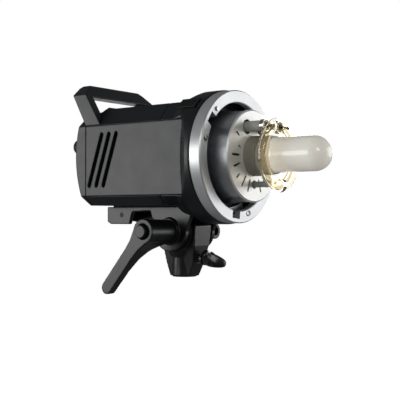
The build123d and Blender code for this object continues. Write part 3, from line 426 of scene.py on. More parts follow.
class GeometryTree:
    """A geometry node tree with named inputs that turns one object into a plain mesh."""

    def __init__(self, name: str, *labels: str) -> None:
        """Starts a tree.

        Args:
            name: The tree's name.
            *labels: Its inputs, apart from Geometry and Finish, which every tree has.
        """
        self.tree = bpy.data.node_groups.new(name, "GeometryNodeTree")
        face = self.tree.interface
        face.new_socket("Geometry", in_out="OUTPUT", socket_type="NodeSocketGeometry")
        face.new_socket("Geometry", in_out="INPUT", socket_type="NodeSocketGeometry")
        self.ids = {
            label: face.new_socket(label, in_out="INPUT", socket_type=SOCKETS[label]).identifier
            for label in (*labels, "Finish")
        }
        self.start = self.tree.nodes.new("NodeGroupInput")
        self.end = self.tree.nodes.new("NodeGroupOutput")

    def add(self, kind: str, links: Links | None = None, values: Values | None = None, **settings: Any) -> Any:
        """Adds a node to the tree, as add_node does."""
        return add_node(self.tree, kind, links, values, **settings)

    def given(self, label: str) -> bpy.types.NodeSocket:
        """The group input of that name."""
        return self.start.outputs[label]

    def close(self, geometry: bpy.types.NodeSocket) -> GeometryTree:
        """Ends the tree: realizes instances, sets the material and joins the output.

        Args:
            geometry: What the tree made.

        Returns:
            The tree itself.
        """
        real = self.add("GeometryNodeRealizeInstances", {0: geometry})
        dressed = self.add("GeometryNodeSetMaterial", {0: real.outputs[0], "Material": self.given("Finish")})
        self.tree.links.new(dressed.outputs[0], self.end.inputs[0])
        return self

    def apply(self, obj: bpy.types.Object, finish: Finish, values: dict[str, Any]) -> bpy.types.Object:
        """Runs the tree on an object.

        Args:
            obj: A mesh or curve object at the origin, which is removed.
            finish: The result's finish.
            values: Input name to value.

        Returns:
            A mesh object of the same name that has the result.
        """
        modifier = obj.modifiers.new(self.tree.name, "NODES")
        modifier.node_group = self.tree
        for label, value in (values | {"Finish": finish.material()}).items():
            modifier[self.ids[label]] = value
        name = obj.name
        return link(name, baked(obj))


def tube_tree() -> GeometryTree:
    """Sweeps a round section along a path, with the path's own radii; a bore makes it a hollow tube.

    Returns:
        The tree.
    """
    made = GeometryTree("tube_sweep", "Radius", "Bore", "Hollow", "Sides")
    widths = made.add("GeometryNodeInputRadius").outputs[0]
    skins = []
    for label in ("Radius", "Bore"):
        section = made.add(
            "GeometryNodeCurvePrimitiveCircle", {"Resolution": made.given("Sides"), "Radius": made.given(label)}
        )
        swept = made.add(
            "GeometryNodeCurveToMesh",
            {"Curve": made.given("Geometry"), "Profile Curve": section.outputs[0], "Scale": widths},
            {"Fill Caps": True},
        )
        skins.append(swept.outputs[0])
    inside = made.add("GeometryNodeFlipFaces", {0: skins[1]}).outputs[0]
    nothing = made.add("GeometryNodeDeleteGeometry", {0: inside}, {1: True}).outputs[0]
    choice = {0: made.given("Hollow"), 1: nothing, 2: inside}
    bore = made.add("GeometryNodeSwitch", choice, input_type="GEOMETRY").outputs[0]
    joined = made.add("GeometryNodeJoinGeometry", {0: skins[0]})
    made.tree.links.new(bore, joined.inputs[0])
    smooth = made.add("GeometryNodeSetShadeSmooth", {0: joined.outputs[0]}, {2: True})
    return made.close(smooth.outputs[0])


def scatter_tree() -> GeometryTree:
    """Puts a copy of one part on every vertex of a mesh.

    Returns:
        The tree.
    """
    made = GeometryTree("fitted_copies", "Part")
    part = made.add("GeometryNodeObjectInfo", {0: made.given("Part")}).outputs["Geometry"]
    copies = made.add("GeometryNodeInstanceOnPoints", {"Points": made.given("Geometry"), "Instance": part})
    return made.close(copies.outputs[0])


def ring_tree() -> GeometryTree:
    """Repeats a mesh round an axis through a point, an equal angle apart.

    Returns:
        The tree.
    """
    made = GeometryTree("turned_copies", "Count", "Axis", "Centre", "First", "Turn")
    points = made.add("GeometryNodeMeshLine", {"Count": made.given("Count")}, {"Offset": (0.0, 0.0, 0.0)})
    index = made.add("GeometryNodeInputIndex").outputs[0]
    factors = {0: index, 1: made.given("Turn"), 2: made.given("First")}
    angle = made.add("ShaderNodeMath", factors, operation="MULTIPLY_ADD").outputs[0]
    turn = made.add("FunctionNodeAxisAngleToRotation", {"Axis": made.given("Axis"), "Angle": angle})
    centre = made.given("Centre")
    back = made.add("ShaderNodeVectorMath", {0: centre}, {1: (-1.0, -1.0, -1.0)}, operation="MULTIPLY").outputs[0]
    drawn = made.add("GeometryNodeTransform", {"Geometry": made.given("Geometry"), "Translation": back})
    moved = made.add("GeometryNodeSetPosition", {"Geometry": points.outputs[0], "Offset": centre})
    copies = made.add(
        "GeometryNodeInstanceOnPoints",
        {"Points": moved.outputs[0], "Instance": drawn.outputs[0], "Rotation": turn.outputs[0]},
    )
    return made.close(copies.outputs[0])


def row_tree() -> GeometryTree:
    """Repeats a mesh along a line, an equal step apart.

    Returns:
        The tree.
    """
    made = GeometryTree("stepped_copies", "Count", "Step")
    points = made.add("GeometryNodeMeshLine", {"Count": made.given("Count"), "Offset": made.given("Step")})
    copies = made.add(
        "GeometryNodeInstanceOnPoints", {"Points": points.outputs[0], "Instance": made.given("Geometry")}
    )
    return made.close(copies.outputs[0])


# ------------------------------------------------------------------------------------------------ mesh helpers
def link(name: str, data: bpy.types.ID) -> bpy.types.Object:
    """Puts a mesh or a curve in the scene as an object at the origin.

    Args:
        name: The object's name.
        data: The mesh or curve.

    Returns:
        The object.
    """
    obj = bpy.data.objects.new(name, data)
    bpy.context.scene.collection.objects.link(obj)
    return obj


def path(name: str, points: Sequence[tuple[Vector, float]]) -> bpy.types.Object:
    """Draws a curve through points, each with its share of the section's size.

    Args:
        name: The curve's name.
        points: Place and share.

    Returns:
        The curve object.
    """
    curve = bpy.data.curves.new(name, "CURVE")
    curve.dimensions = "3D"
    spline = curve.splines.new("POLY")
    spline.points.add(len(points) - 1)
    for knot, (place, share) in zip(spline.points, points):
        knot.co = (*place, 1.0)
        knot.radius = share
    return link(name, curve)


def baked(obj: bpy.types.Object) -> bpy.types.Mesh:
    """Applies an object's modifiers and removes the object.

    Args:
        obj: The object.

    Returns:
        A mesh of its own that has the result.
    """
    bpy.context.view_layer.update()
    depsgraph = bpy.context.evaluated_depsgraph_get()
    mesh = bpy.data.meshes.new_from_object(obj.evaluated_get(depsgraph), depsgraph=depsgraph)
    bpy.data.objects.remove(obj)
    return mesh


def crisp(mesh: bpy.types.Mesh, angle: float = CRISP_ANGLE) -> None:
    """Smooths a mesh's shading except over edges that turn more than an angle in degrees."""
    mesh.shade_smooth()
    mesh.set_sharp_from_angle(angle=math.radians(angle))


def raw_mesh(name: str, shape: bmesh.types.BMesh) -> bpy.types.Mesh:
    """Turns a bmesh to a mesh.

    Args:
        name: The mesh's name.
        shape: The bmesh, which is freed.

    Returns:
        The mesh, with flat shading.
    """
    mesh = bpy.data.meshes.new(name)
    shape.to_mesh(mesh)
    shape.free()
    return mesh


def from_bmesh(name: str, shape: bmesh.types.BMesh, angle: float = CRISP_ANGLE) -> bpy.types.Object:
    """Turns a bmesh to an object with smooth sides and crisp edges.

    Args:
        name: The object's name.
        shape: The bmesh, which is freed.
        angle: Edges that turn more than this, in degrees, stay crisp.

    Returns:
        The new object.
    """
    mesh = raw_mesh(name, shape)
    crisp(mesh, angle)
    return link(name, mesh)


def join(shape: bmesh.types.BMesh, piece: bmesh.types.BMesh) -> None:
    """Adds one bmesh to another and frees it.

    Args:
        shape: The bmesh that grows.
        piece: What is added.
    """
    mesh = raw_mesh("joined", piece)
    shape.from_mesh(mesh)
    bpy.data.meshes.remove(mesh)


def rectangle(u: tuple[float, float], v: tuple[float, float]) -> list[tuple[float, float]]:
    """Corners of a rectangle between two values each way, in order."""
    return [(u[0], v[0]), (u[1], v[0]), (u[1], v[1]), (u[0], v[1])]


def in_mm(outline: Outline) -> list[tuple[float, float]]:
    """An outline in metres from one in millimetres."""
    return [(u * MM, v * MM) for u, v in outline]


def lathe(
    profile: Outline, centre: tuple[float, float, float], axis: str = "Y", steps: int = 48
) -> bmesh.types.BMesh:
    """Spins a closed outline about an axis through a point.

    Args:
        profile: (radius, distance along the axis) in metres; its last point joins its first.
        centre: A point on the axis.
        axis: Y or Z.
        steps: Number of facets.

    Returns:
        A closed bmesh with its faces pointing outwards.
    """
    shape = bmesh.new()
    rings: list[list[bmesh.types.BMVert]] = []
    for radius, along in profile:
        angles = [0.0] if radius < 1e-7 else [math.tau * i / steps for i in range(steps)]
        rings.append([shape.verts.new((radius * math.cos(a), radius * math.sin(a), along)) for a in angles])
    for ring, after in zip(rings, rings[1:] + rings[:1]):
        if len(ring) == 1 and len(after) == 1:
            continue
        for i in range(steps):
            j = (i + 1) % steps
            corners = [ring[i % len(ring)], ring[j % len(ring)], after[j % len(after)], after[i % len(after)]]
            shape.faces.new(list(dict.fromkeys(corners)))
    bmesh.ops.recalc_face_normals(shape, faces=shape.faces)
    turn = {"Y": Matrix.Rotation(-math.pi / 2, 4, "X"), "Z": Matrix()}[axis]
    shape.transform(Matrix.Translation(centre) @ turn)
    return shape


def prism(outline: Outline, low: float, high: float, axis: str = "Y", bevel: float = 0.0) -> bmesh.types.BMesh:
    """Extrudes a closed outline along an axis.

    Args:
        outline: Points in the plane across the axis, in the order of the other two axes.
        low: Start along the axis.
        high: End along the axis.
        axis: X, Y or Z.
        bevel: Width of a bevel on every edge.

    Returns:
        A closed bmesh with its faces pointing outwards.
    """
    place = {"X": lambda u, v, w: (w, u, v), "Y": lambda u, v, w: (u, w, v), "Z": lambda u, v, w: (u, v, w)}[axis]
    shape = bmesh.new()
    lower, upper = ([shape.verts.new(place(u, v, end)) for u, v in outline] for end in (low, high))
    shape.faces.new(lower)
    shape.faces.new(upper)
    count = len(outline)
    for i in range(count):
        shape.faces.new((lower[i], lower[(i + 1) % count], upper[(i + 1) % count], upper[i]))
    bmesh.ops.recalc_face_normals(shape, faces=shape.faces)
    if bevel:
        bmesh.ops.bevel(
            shape, geom=shape.edges, offset=bevel, segments=2, profile=0.5, affect="EDGES", clamp_overlap=True
        )
    return shape


# ------------------------------------------------------------------------------------------------ workshop
@dataclass
class Workshop:
    """Makes pieces, dresses them and fastens them to the frame.

    Attributes:
        frame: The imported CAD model.
    """

    frame: Frame

    def dress(self, obj: bpy.types.Object, finish: Finish) -> None:
        """Gives an object one finish."""
        obj.data.materials.clear()
        obj.data.materials.append(finish.material())

    def fasten(
        self, obj: bpy.types.Object, node: str, replaces: bool = True, finish: Finish | None = None
    ) -> bpy.types.Object:
        """Fastens a piece to the body of a CAD node.

        Args:
            obj: The piece.
            node: The CAD node that it stands for or goes with.
            replaces: Whether the node is hidden.
            finish: The piece's finish, if it has none yet.

        Returns:
            The piece.
        """
        if finish:
            self.dress(obj, finish)
        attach(obj, self.frame.body_of[node])
        if replaces:
            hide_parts(node)
        LOG.info("%s rides on %s", obj.name, self.frame.body_of[node])
        return obj

    def keep(self, finish: Finish, *nodes: str) -> None:
        """Keeps CAD nodes, with smooth shading on their round sides, and gives them a finish.

        Args:
            finish: The finish.
            *nodes: The nodes.
        """
        for node in nodes:
            obj = self.frame.nodes[node]
            self.dress(obj, finish)
            obj.data.shade_smooth()
            obj.modifiers.new("weld", "WELD").merge_threshold = WELD
            obj.modifiers.new("shade", "NODES").node_group = self._shading_tree()
            LOG.info("%s keeps its CAD shape", node)

    def _shading_tree(self) -> bpy.types.NodeTree:
        """Builds, once, a tree that keeps edges crisp where they turn much.

        Returns:
            The tree.
        """
        found = bpy.data.node_groups.get("crisp_edges")
        if found:
            return found
        tree = bpy.data.node_groups.new("crisp_edges", "GeometryNodeTree")
        for way in ("OUTPUT", "INPUT"):
            tree.interface.new_socket("Geometry", in_out=way, socket_type="NodeSocketGeometry")
        start = tree.nodes.new("NodeGroupInput").outputs[0]
        turn = add_node(tree, "GeometryNodeInputMeshEdgeAngle").outputs["Unsigned Angle"]
        limit = {1: math.radians(CRISP_ANGLE)}
        sharp = add_node(tree, "FunctionNodeCompare", {0: turn}, limit, data_type="FLOAT", operation="GREATER_THAN")
        smooth = add_node(tree, "GeometryNodeSetShadeSmooth", {"Geometry": start}, domain="FACE")
        edges = add_node(
            tree,
            "GeometryNodeSetShadeSmooth",
            {"Geometry": smooth.outputs[0], "Selection": sharp.outputs[0]},
            {"Shade Smooth": False},
            domain="EDGE",
        )
        tree.links.new(edges.outputs[0], tree.nodes.new("NodeGroupOutput").inputs[0])
        return tree

    def skin(self, node: str, finish: Finish, voxel_mm: float, passes: int) -> None:
        """Makes a softened skin of a CAD node, as casting or moulding rounds its edges.

        Args:
            node: The CAD node that the skin replaces.
            finish: The skin's finish.
            voxel_mm: Mesh spacing, which is about the radius of the rounded edges.
            passes: Smoothing passes.
        """
        shape = bmesh.new()
        shape.from_mesh(self.frame.nodes[node].data)
        bmesh.ops.remove_doubles(shape, verts=shape.verts, dist=WELD)
        name = f"{node}_skin"
        raw = link(name, raw_mesh(name, shape))
        remesh = raw.modifiers.new("remesh", "REMESH")
        remesh.mode = "VOXEL"
        remesh.voxel_size = voxel_mm * MM
        remesh.use_smooth_shade = True
        relax = raw.modifiers.new("relax", "SMOOTH")
        relax.factor = 0.5
        relax.iterations = passes
        self.fasten(link(name, baked(raw)), node, finish=finish)

    def screws(
        self,
        name: str,
        spots: Sequence[Vector],
        node: str,
        radius: float,
        height: float,
        facing: Vector,
        finish: Finish,
    ) -> None:
        """Fits pan heads with a cross recess on a set of points.

        Args:
            name: Name of the piece.
            spots: The seat of each head.
            node: The CAD node of these screws, which the heads replace.
            radius: Head radius.
            height: Head height.
            facing: The way the heads look.
            finish: Their finish.
        """
        head = self._screw_head(radius, height, facing)
        seats = bmesh.new()
        for spot in spots:
            seats.verts.new(spot)
        heads = scatter_tree().apply(link(name, raw_mesh(name, seats)), finish, {"Part": head})
        bpy.data.objects.remove(head)
        self.fasten(heads, node)

    def _screw_head(self, radius: float, height: float, facing: Vector) -> bpy.types.Object:
        """Makes a pan head with a cross recess, seated at the origin.

        Args:
            radius: Its radius.
            height: Its height.
            facing: The way it looks.

        Returns:
            The head.
        """
        rim, slot_long, slot_wide, slot_deep = 0.35, 0.62, 0.16, 0.75
        quarter = [math.pi / 2 * i / 6 for i in range(6)]
        dome = [(radius * math.cos(a), height * (rim + (1 - rim) * math.sin(a))) for a in quarter]
        blank = lathe([(0.0, 0.0), (radius, 0.0), *dome, (0.0, height)], (0, 0, 0), "Z", 40)
        head = from_bmesh("screw_blank", blank)
        bars = bmesh.new()
        for half_x, half_y in ((slot_long, slot_wide), (slot_wide, slot_long)):
            half_sizes = Matrix.Diagonal((half_x * radius, half_y * radius, height * slot_deep, 1))
            bmesh.ops.create_cube(bars, size=2.0, matrix=Matrix.Translation((0, 0, height)) @ half_sizes)
        cross = from_bmesh("screw_cross", bars)
        cut = head.modifiers.new("recess", "BOOLEAN")
        cut.operation = "DIFFERENCE"
        cut.solver = "EXACT"
        cut.use_self = True
        cut.object = cross
        mesh = baked(head)
        bpy.data.objects.remove(cross)
        mesh.transform(facing.to_track_quat("Z", "Y").to_matrix().to_4x4())
        crisp(mesh)
        return link("screw_head", mesh)


# ------------------------------------------------------------------------------------------------ assemblies
@dataclass
class Casing:
    """Collar, shells, side panels, rear cover, handle and slave window.

    Attributes:
        shop: The workshop.
        skins: Node, mesh spacing in millimetres and smoothing passes of each moulding.
        slider_voxel: Mesh spacing of the release slider, in millimetres.
        slider_passes: Its smoothing passes.
        screen_gap: Depth of the screens behind the sides' outer faces.
        screen_len: Length of a screen along the head.
        screen_half_h: Half its height.
        sheet_t: Thickness of its sheet.
        sheet_inset: The sheet's end from the panel's back.
        wire_t: Thickness of a wire.
        wire_pitch: Spacing of the wires.
    """

    shop: Workshop
    skins: tuple[tuple[str, float, int], ...] = (
        ("upper_shell", 0.7, 3),
        ("lower_shell", 0.7, 3),
        ("side_panel_left", 0.7, 3),
        ("side_panel_right", 0.7, 3),
        ("rear_cover", 0.7, 3),
        ("front_collar", 0.8, 6),
        ("carry_handle", 0.7, 2),
    )
    slider_voxel: float = 0.35
    slider_passes: int = 3
    screen_gap: float = 3.4 * MM
    screen_len: float = 46.0 * MM
    screen_half_h: float = 31.0 * MM
    sheet_t: float = 0.3 * MM
    sheet_inset: float = 1.0 * MM
    wire_t: float = 0.5 * MM
    wire_pitch: float = 1.5 * MM

    def build(self) -> None:
        """Builds the casing."""
        for node, voxel_mm, passes in self.skins:
            self.shop.skin(node, Finishes.CASING, voxel_mm, passes)
        self.shop.skin("release_slider", Finishes.NYLON, self.slider_voxel, self.slider_passes)
        self.shop.keep(Finishes.RED_WINDOW, "slave_window")
        self.shop.keep(Finishes.RUBBER, "bracket_pad")
        for name, side in (("left", -1), ("right", 1)):
            self._louvre_screen(name, side)

    def _louvre_screen(self, name: str, side: int) -> None:
        """Fits a dark sheet and a row of wires behind the louvres, so that nobody sees through the head; their
        near-black finish is painted shade for the dark inside.

        Args:
            name: The side's name.
            side: 1 for the +X side and -1 for the other.
        """
        panel = f"side_panel_{name}"
        low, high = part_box(panel)
        face = (high.x if side > 0 else low.x) - side * self.screen_gap
        front = high.y - self.screen_len
        tall = (Layout.AXIS_Z - self.screen_half_h, Layout.AXIS_Z + self.screen_half_h)
        ends = sorted((face, face - side * self.sheet_t))
        sheet = prism(rectangle((front, high.y - self.sheet_inset), tall), *ends, "X")
        # The sheet and the wires below get the near-black painted shade finish.
        self.shop.fasten(from_bmesh(f"louvre_sheet_{name}", sheet), panel, False, Finishes.SHADE_SCREEN)
        half = self.wire_t / 2
        x, y = face + side * half, front + self.wire_pitch
        wire = prism(rectangle((x - half, x + half), (y - half, y + half)), *tall, "Z")
        wires = row_tree().apply(
            from_bmesh(f"louvre_wires_{name}", wire),
            Finishes.SHADE_SCREEN,
            {"Count": int(self.screen_len / self.wire_pitch) - 2, "Step": (0.0, self.wire_pitch, 0.0)},
        )
        self.shop.fasten(wires, panel, replaces=False)


@dataclass
class FlashTube:
    """Hollow glass ring with its electrodes, on the plane of the CAD tube.

    Attributes:
        shop: The workshop.
        ring_r: Radius of the ring's centre line.
        ring_seat: The ring's plane from the front of the CAD tube.
        tube_r: Outer radius of the glass.
        wall: Thickness of the glass.
        leg_x: Distance of a leg from the middle.
        leg_z: Height of a leg above the lamp's axis.
        leg: (distance behind the ring's plane, outer radius) along a leg from its end, in millimetres.
        elbow: The same, half-way from the leg to the ring.
        arc_steps: Points along the ring.
        sides: Facets round the glass.
        pin_r: Radius of an electrode's tip.
        pin: (distance behind the ring's plane, share of the way into the ring, radius) along an electrode,
            in millimetres.
        into_ring: How far an electrode reaches into the ring from its leg, sideways and up.
        pin_sides: Facets round an electrode.
    """

    shop: Workshop
    ring_r: float = 27.0 * MM
    ring_seat: float = 5.2 * MM
    tube_r: float = 5.15 * MM
    wall: float = 1.15 * MM
    leg_x: float = 11.4 * MM
    leg_z: float = 26.0 * MM
    leg: tuple[tuple[float, float], ...] = ((14.0, 2.9), (6.4, 2.9), (5.0, 3.335), (3.4, 4.429))
    elbow: tuple[float, float] = (1.2, 4.9955)
    arc_steps: int = 64
    sides: int = 40
    pin_r: float = 1.3 * MM
    pin: tuple[tuple[float, float, float], ...] = (
        (13.0, 0.0, 0.715), (3.0, 0.0, 0.715), (1.0, 0.2, 0.78), (0.0, 0.5, 1.3), (0.0, 1.0, 1.3)
    )
    into_ring: tuple[float, float] = (4.0 * MM, -1.6 * MM)
    pin_sides: int = 16

    def build(self) -> None:
        """Builds the glass and what is in it."""
        tree = tube_tree()
        sizes = {"Radius": self.tube_r, "Bore": self.tube_r - self.wall, "Hollow": True, "Sides": self.sides}
        glass = tree.apply(path("flash_glass", self._centre_line()), Finishes.QUARTZ, sizes)
        self.shop.fasten(glass, "flash_tube")
        for name, side in (("left", -1), ("right", 1)):
            self._electrode(tree, name, side)

    def _plane_y(self) -> float:
        """The ring's plane."""
        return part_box("flash_tube")[0].y + self.ring_seat

    def _foot(self, side: int) -> Vector:
        """The point of a leg in the ring's plane."""
        return Vector((side * self.leg_x, self._plane_y(), Layout.AXIS_Z + self.leg_z))

    def _centre_line(self) -> list[tuple[Vector, float]]:
        """Draws the tube from one leg's end round the ring to the other's.

        Returns:
            Points of the centre line, each with its share of the tube's radius.
        """
        half_gap = math.atan2(self.leg_x, self.leg_z)
        middle = Vector((0, self._plane_y(), Layout.AXIS_Z))
        angles = (half_gap + (math.tau - 2 * half_gap) * i / self.arc_steps for i in range(self.arc_steps + 1))
        arc = [middle + self.ring_r * Vector((math.sin(a), 0, math.cos(a))) for a in angles]
        line: list[tuple[Vector, float]] = []
        for side, end in ((1, arc[0]), (-1, arc[-1])):
            foot = self._foot(side)
            along = [(foot, at, radius) for at, radius in self.leg] + [(foot.lerp(end, 0.5), *self.elbow)]
            leg = [(spot + Vector((0, at * MM, 0)), radius * MM / self.tube_r) for spot, at, radius in along]
            line += leg + [(point, 1.0) for point in arc[1:-1]] if side == 1 else leg[::-1]
        return line

    def _electrode(self, tree: GeometryTree, name: str, side: int) -> None:
        """Runs a tungsten pin up a leg into the ring's end.

        Args:
            tree: The tree that sweeps a section.
            name: The side's name.
            side: 1 for the +X side and -1 for the other.
        """
        reach = Vector((side * self.into_ring[0], 0, self.into_ring[1]))
        foot = self._foot(side)
        points = [(foot + Vector((0, at * MM, 0)) + reach * share, r * MM / self.pin_r) for at, share, r in self.pin]
        # A pin is solid, so its bore is only a value that the tree passes over.
        sizes = {"Radius": self.pin_r, "Bore": 0.1 * MM, "Hollow": False, "Sides": self.pin_sides}
        pin = tree.apply(path(f"flash_electrode_{name}", points), Finishes.TUNGSTEN, sizes)
        self.shop.fasten(pin, "flash_tube", replaces=False)


@dataclass
class Front:
    """Bayonet ring, dish, lamp holder and lamp.

    Attributes:
        shop: The workshop.
        bulb_r: Radius of the lamp's glass.
        bulb_wall: Thickness of the glass.
        dome_steps: Facets from the lamp's tip to its side.
        drum: (radius, distance from the dish's front) along the dish's side, in millimetres.
        drum_end_r: Radius of the side's back end, in millimetres.
        drum_end_inset: The side's back end from the dish's.
        drum_proud: How far the bare skin stands out of the CAD drum.
        screw_circle: Radius of the ring screws' circle.
        screw_angles: Their angles, from the top towards +X.
        screw_sink: How far their seats are in front of the ring.
        screw_r: Radius of a head.
        screw_h: Height of a head.
    """

    shop: Workshop
    bulb_r: float = 15.75 * MM
    bulb_wall: float = 1.1 * MM
    dome_steps: int = 14
    drum: tuple[tuple[float, float], ...] = ((42.3, 1.2), (41.7, 8.0), (42.1, 16.0))
    drum_end_r: float = 43.9 * MM
    drum_end_inset: float = 1.0 * MM
    drum_proud: float = 0.04 * MM
    screw_circle: float = 54.2 * MM
    screw_angles: tuple[float, ...] = (46.0, 166.0, 286.0)
    screw_sink: float = 0.05 * MM
    screw_r: float = 2.35 * MM
    screw_h: float = 0.7 * MM

    def build(self) -> None:
        """Builds the front."""
        keep = self.shop.keep
        keep(Finishes.RING, "bayonet_ring")
        keep(Finishes.STEEL, "bayonet_springs", "lock_pin", "lamp_cap")
        keep(Finishes.NYLON, "bayonet_bed", "bulkhead")
        keep(Finishes.DISH, "lamp_dish")
        keep(Finishes.STEATITE, "lamp_holder")
        keep(Finishes.LAMP_BASE, "lamp_base")
        keep(Finishes.POST, "tube_posts", "support_post")
        keep(Finishes.NICKEL, "tube_clamps", "trigger_clip", "trigger_wire")
        self._bulb()
        self._dish_side()
        self._ring_screws()

    def _bulb(self) -> None:
        """Lathes the lamp's glass with a round end."""
        low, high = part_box("modelling_lamp")
        outer = self._bulb_side(low.y, high.y, self.bulb_r)
        inner = self._bulb_side(low.y + self.bulb_wall, high.y, self.bulb_r - self.bulb_wall)
        shape = lathe(outer + inner[::-1], (0, 0, Layout.AXIS_Z), steps=96)
        # The glass's faint glow comes from its finish and is painted light.
        self.shop.fasten(from_bmesh("modelling_lamp_glass", shape, 50.0), "modelling_lamp", finish=Finishes.FROSTED)

    def _bulb_side(self, tip_y: float, foot_y: float, radius: float) -> list[tuple[float, float]]:
        """Draws one side of the lamp's glass.

        Args:
            tip_y: Its tip.
            foot_y: Its foot.
            radius: Its radius.

        Returns:
            (radius, y) from the tip to the foot.
        """
        angles = [math.pi / 2 * i / self.dome_steps for i in range(self.dome_steps + 1)]
        return [(radius * math.sin(a), tip_y + radius * (1 - math.cos(a))) for a in angles] + [(radius, foot_y)]

    def _dish_side(self) -> None:
        """Turns the bare skin of the dish's drum, a hair outside the CAD drum."""
        low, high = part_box("lamp_dish")
        side = [(r, low.y + y) for r, y in in_mm(self.drum)] + [(self.drum_end_r, high.y - self.drum_end_inset)]
        outer = [(r + self.drum_proud, y) for r, y in side]
        inner = [(r - self.drum_proud * 0.75, y) for r, y in outer]
        sleeve = lathe(outer + inner[::-1], (0, 0, Layout.AXIS_Z), steps=160)
        self.shop.fasten(from_bmesh("lamp_dish_side", sleeve, 20.0), "lamp_dish", False, Finishes.DISH_SIDE)

    def _ring_screws(self) -> None:
        """Fits the pan-head screws of the ring."""
        seat = Vector((0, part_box("bayonet_ring")[0].y - self.screw_sink, Layout.AXIS_Z))
        angles = (math.radians(a) for a in self.screw_angles)
        spots = [seat + self.screw_circle * Vector((math.sin(a), 0, math.cos(a))) for a in angles]
        self.shop.screws(
            "ring_screw_heads", spots, "ring_screws", self.screw_r, self.screw_h, Vector((0, -1, 0)), Finishes.STEEL
        )


@dataclass(frozen=True)
class Station:
    """One section of a wing: distance from the hub, its middle and half sizes along Y and Z, in millimetres."""

    out: float
    middle: float
    half_y: float
    half_z: float


@dataclass
class Bracket:
    """Tilt bracket, lever, stand casting and wing screw.

    Attributes:
        shop: The workshop.
        skins: Node, mesh spacing in millimetres and smoothing passes of each casting.
        button_voxel: Mesh spacing of the lever's button, in millimetres.
        button_passes: Its smoothing passes.
        wing: Sections of a wing from the hub to its tip.
        wing_angle: Turn of the wings about the screw, in degrees.
        wing_z: Height of the screw.
        wing_fullness: Power of a section's outline: 1 is an ellipse, less is squarer.
        wing_sides: Points round a section.
        hub: (radius, y) round the knob's hub, in millimetres.
    """

    shop: Workshop
    skins: tuple[tuple[str, float, int], ...] = (
        ("tilt_bracket", 0.6, 4),
        ("clamp_lever", 0.6, 8),
        ("stand_casting", 0.6, 5),
    )
    button_voxel: float = 0.25
    button_passes: int = 3
    wing: tuple[Station, ...] = (
        Station(0.0, -28.8, 4.9, 6.7),
        Station(3.0, -28.9, 4.9, 6.8),
        Station(6.0, -29.8, 4.7, 6.6),
        Station(9.0, -31.3, 4.5, 6.1),
        Station(12.0, -33.2, 4.1, 5.3),
        Station(14.5, -35.0, 3.3, 4.3),
        Station(16.2, -36.2, 2.2, 3.1),
        Station(17.0, -36.8, 0.8, 1.4),
    )
    wing_angle: float = 20.0
    wing_z: float = 18.0 * MM
    wing_fullness: float = 0.8
    wing_sides: int = 28
    hub: tuple[tuple[float, float], ...] = (
        (4.05, -30.0), (5.4, -34.0), (6.6, -32.6), (6.6, -24.2), (5.9, -23.5), (4.05, -23.5)
    )

    def build(self) -> None:
        """Builds the bracket."""
        for node, voxel_mm, passes in self.skins:
            self.shop.skin(node, Finishes.CASTING, voxel_mm, passes)
        self._wing_knob()
        self.shop.skin("lever_button", Finishes.CASTING, self.button_voxel, self.button_passes)
        self.shop.keep(Finishes.DARK_STEEL, "bracket_screws", "tilt_bolt")
        self.shop.keep(Finishes.FIBRE, "friction_washers")
        self.shop.keep(Finishes.STEEL, "clamp_screw")
        self.shop.keep(Finishes.BRASS, "clamp_pad")

    def _wing_knob(self) -> None:
        """Lofts the two wings and turns the hub between them."""
        shape = bmesh.new()
        for side in (-1, 1):
            self._loft(shape, side)
        join(shape, lathe(in_mm(self.hub), (0, 0, 0)))
        turn = Matrix.Rotation(math.radians(self.wing_angle), 4, "Y")
        shape.transform(Matrix.Translation((0, 0, self.wing_z)) @ turn)
        bmesh.ops.recalc_face_normals(shape, faces=shape.faces)
        self.shop.fasten(from_bmesh("wing_knob_wings", shape, 50.0), "wing_knob", finish=Finishes.ABS_GLOSS)

    def _loft(self, shape: bmesh.types.BMesh, side: int) -> None:
        """Adds one wing as a closed loft.

        Args:
            shape: The mesh to add to.
            side: 1 or -1, the side of the screw.
        """
        round_section = []
        for a in (math.tau * i / self.wing_sides for i in range(self.wing_sides)):
            round_section.append([math.copysign(abs(v) ** self.wing_fullness, v) for v in (math.cos(a), math.sin(a))])
        hoops = []
        for at in self.wing:
            spots = [(side * at.out, at.middle + at.half_y * u, at.half_z * v) for u, v in round_section]
            hoops.append([shape.verts.new(Vector(spot) * MM) for spot in spots])
        for near, far in zip(hoops, hoops[1:]):
            for i in range(self.wing_sides):
                j = (i + 1) % self.wing_sides
                shape.faces.new((near[i], near[j], far[j], far[i]))
        shape.faces.new(hoops[0])
        shape.faces.new(hoops[-1])


class Segment(Enum):
    """Bars of a seven-bar digit: (column, row) of the middle in half digits, and whether the bar lies flat."""

    TOP = (0, 2, True)
    MIDDLE = (0, 0, True)
    BOTTOM = (0, -2, True)
    UPPER_LEFT = (-1, 1, False)
    UPPER_RIGHT = (1, 1, False)
    LOWER_LEFT = (-1, -1, False)
    LOWER_RIGHT = (1, -1, False)


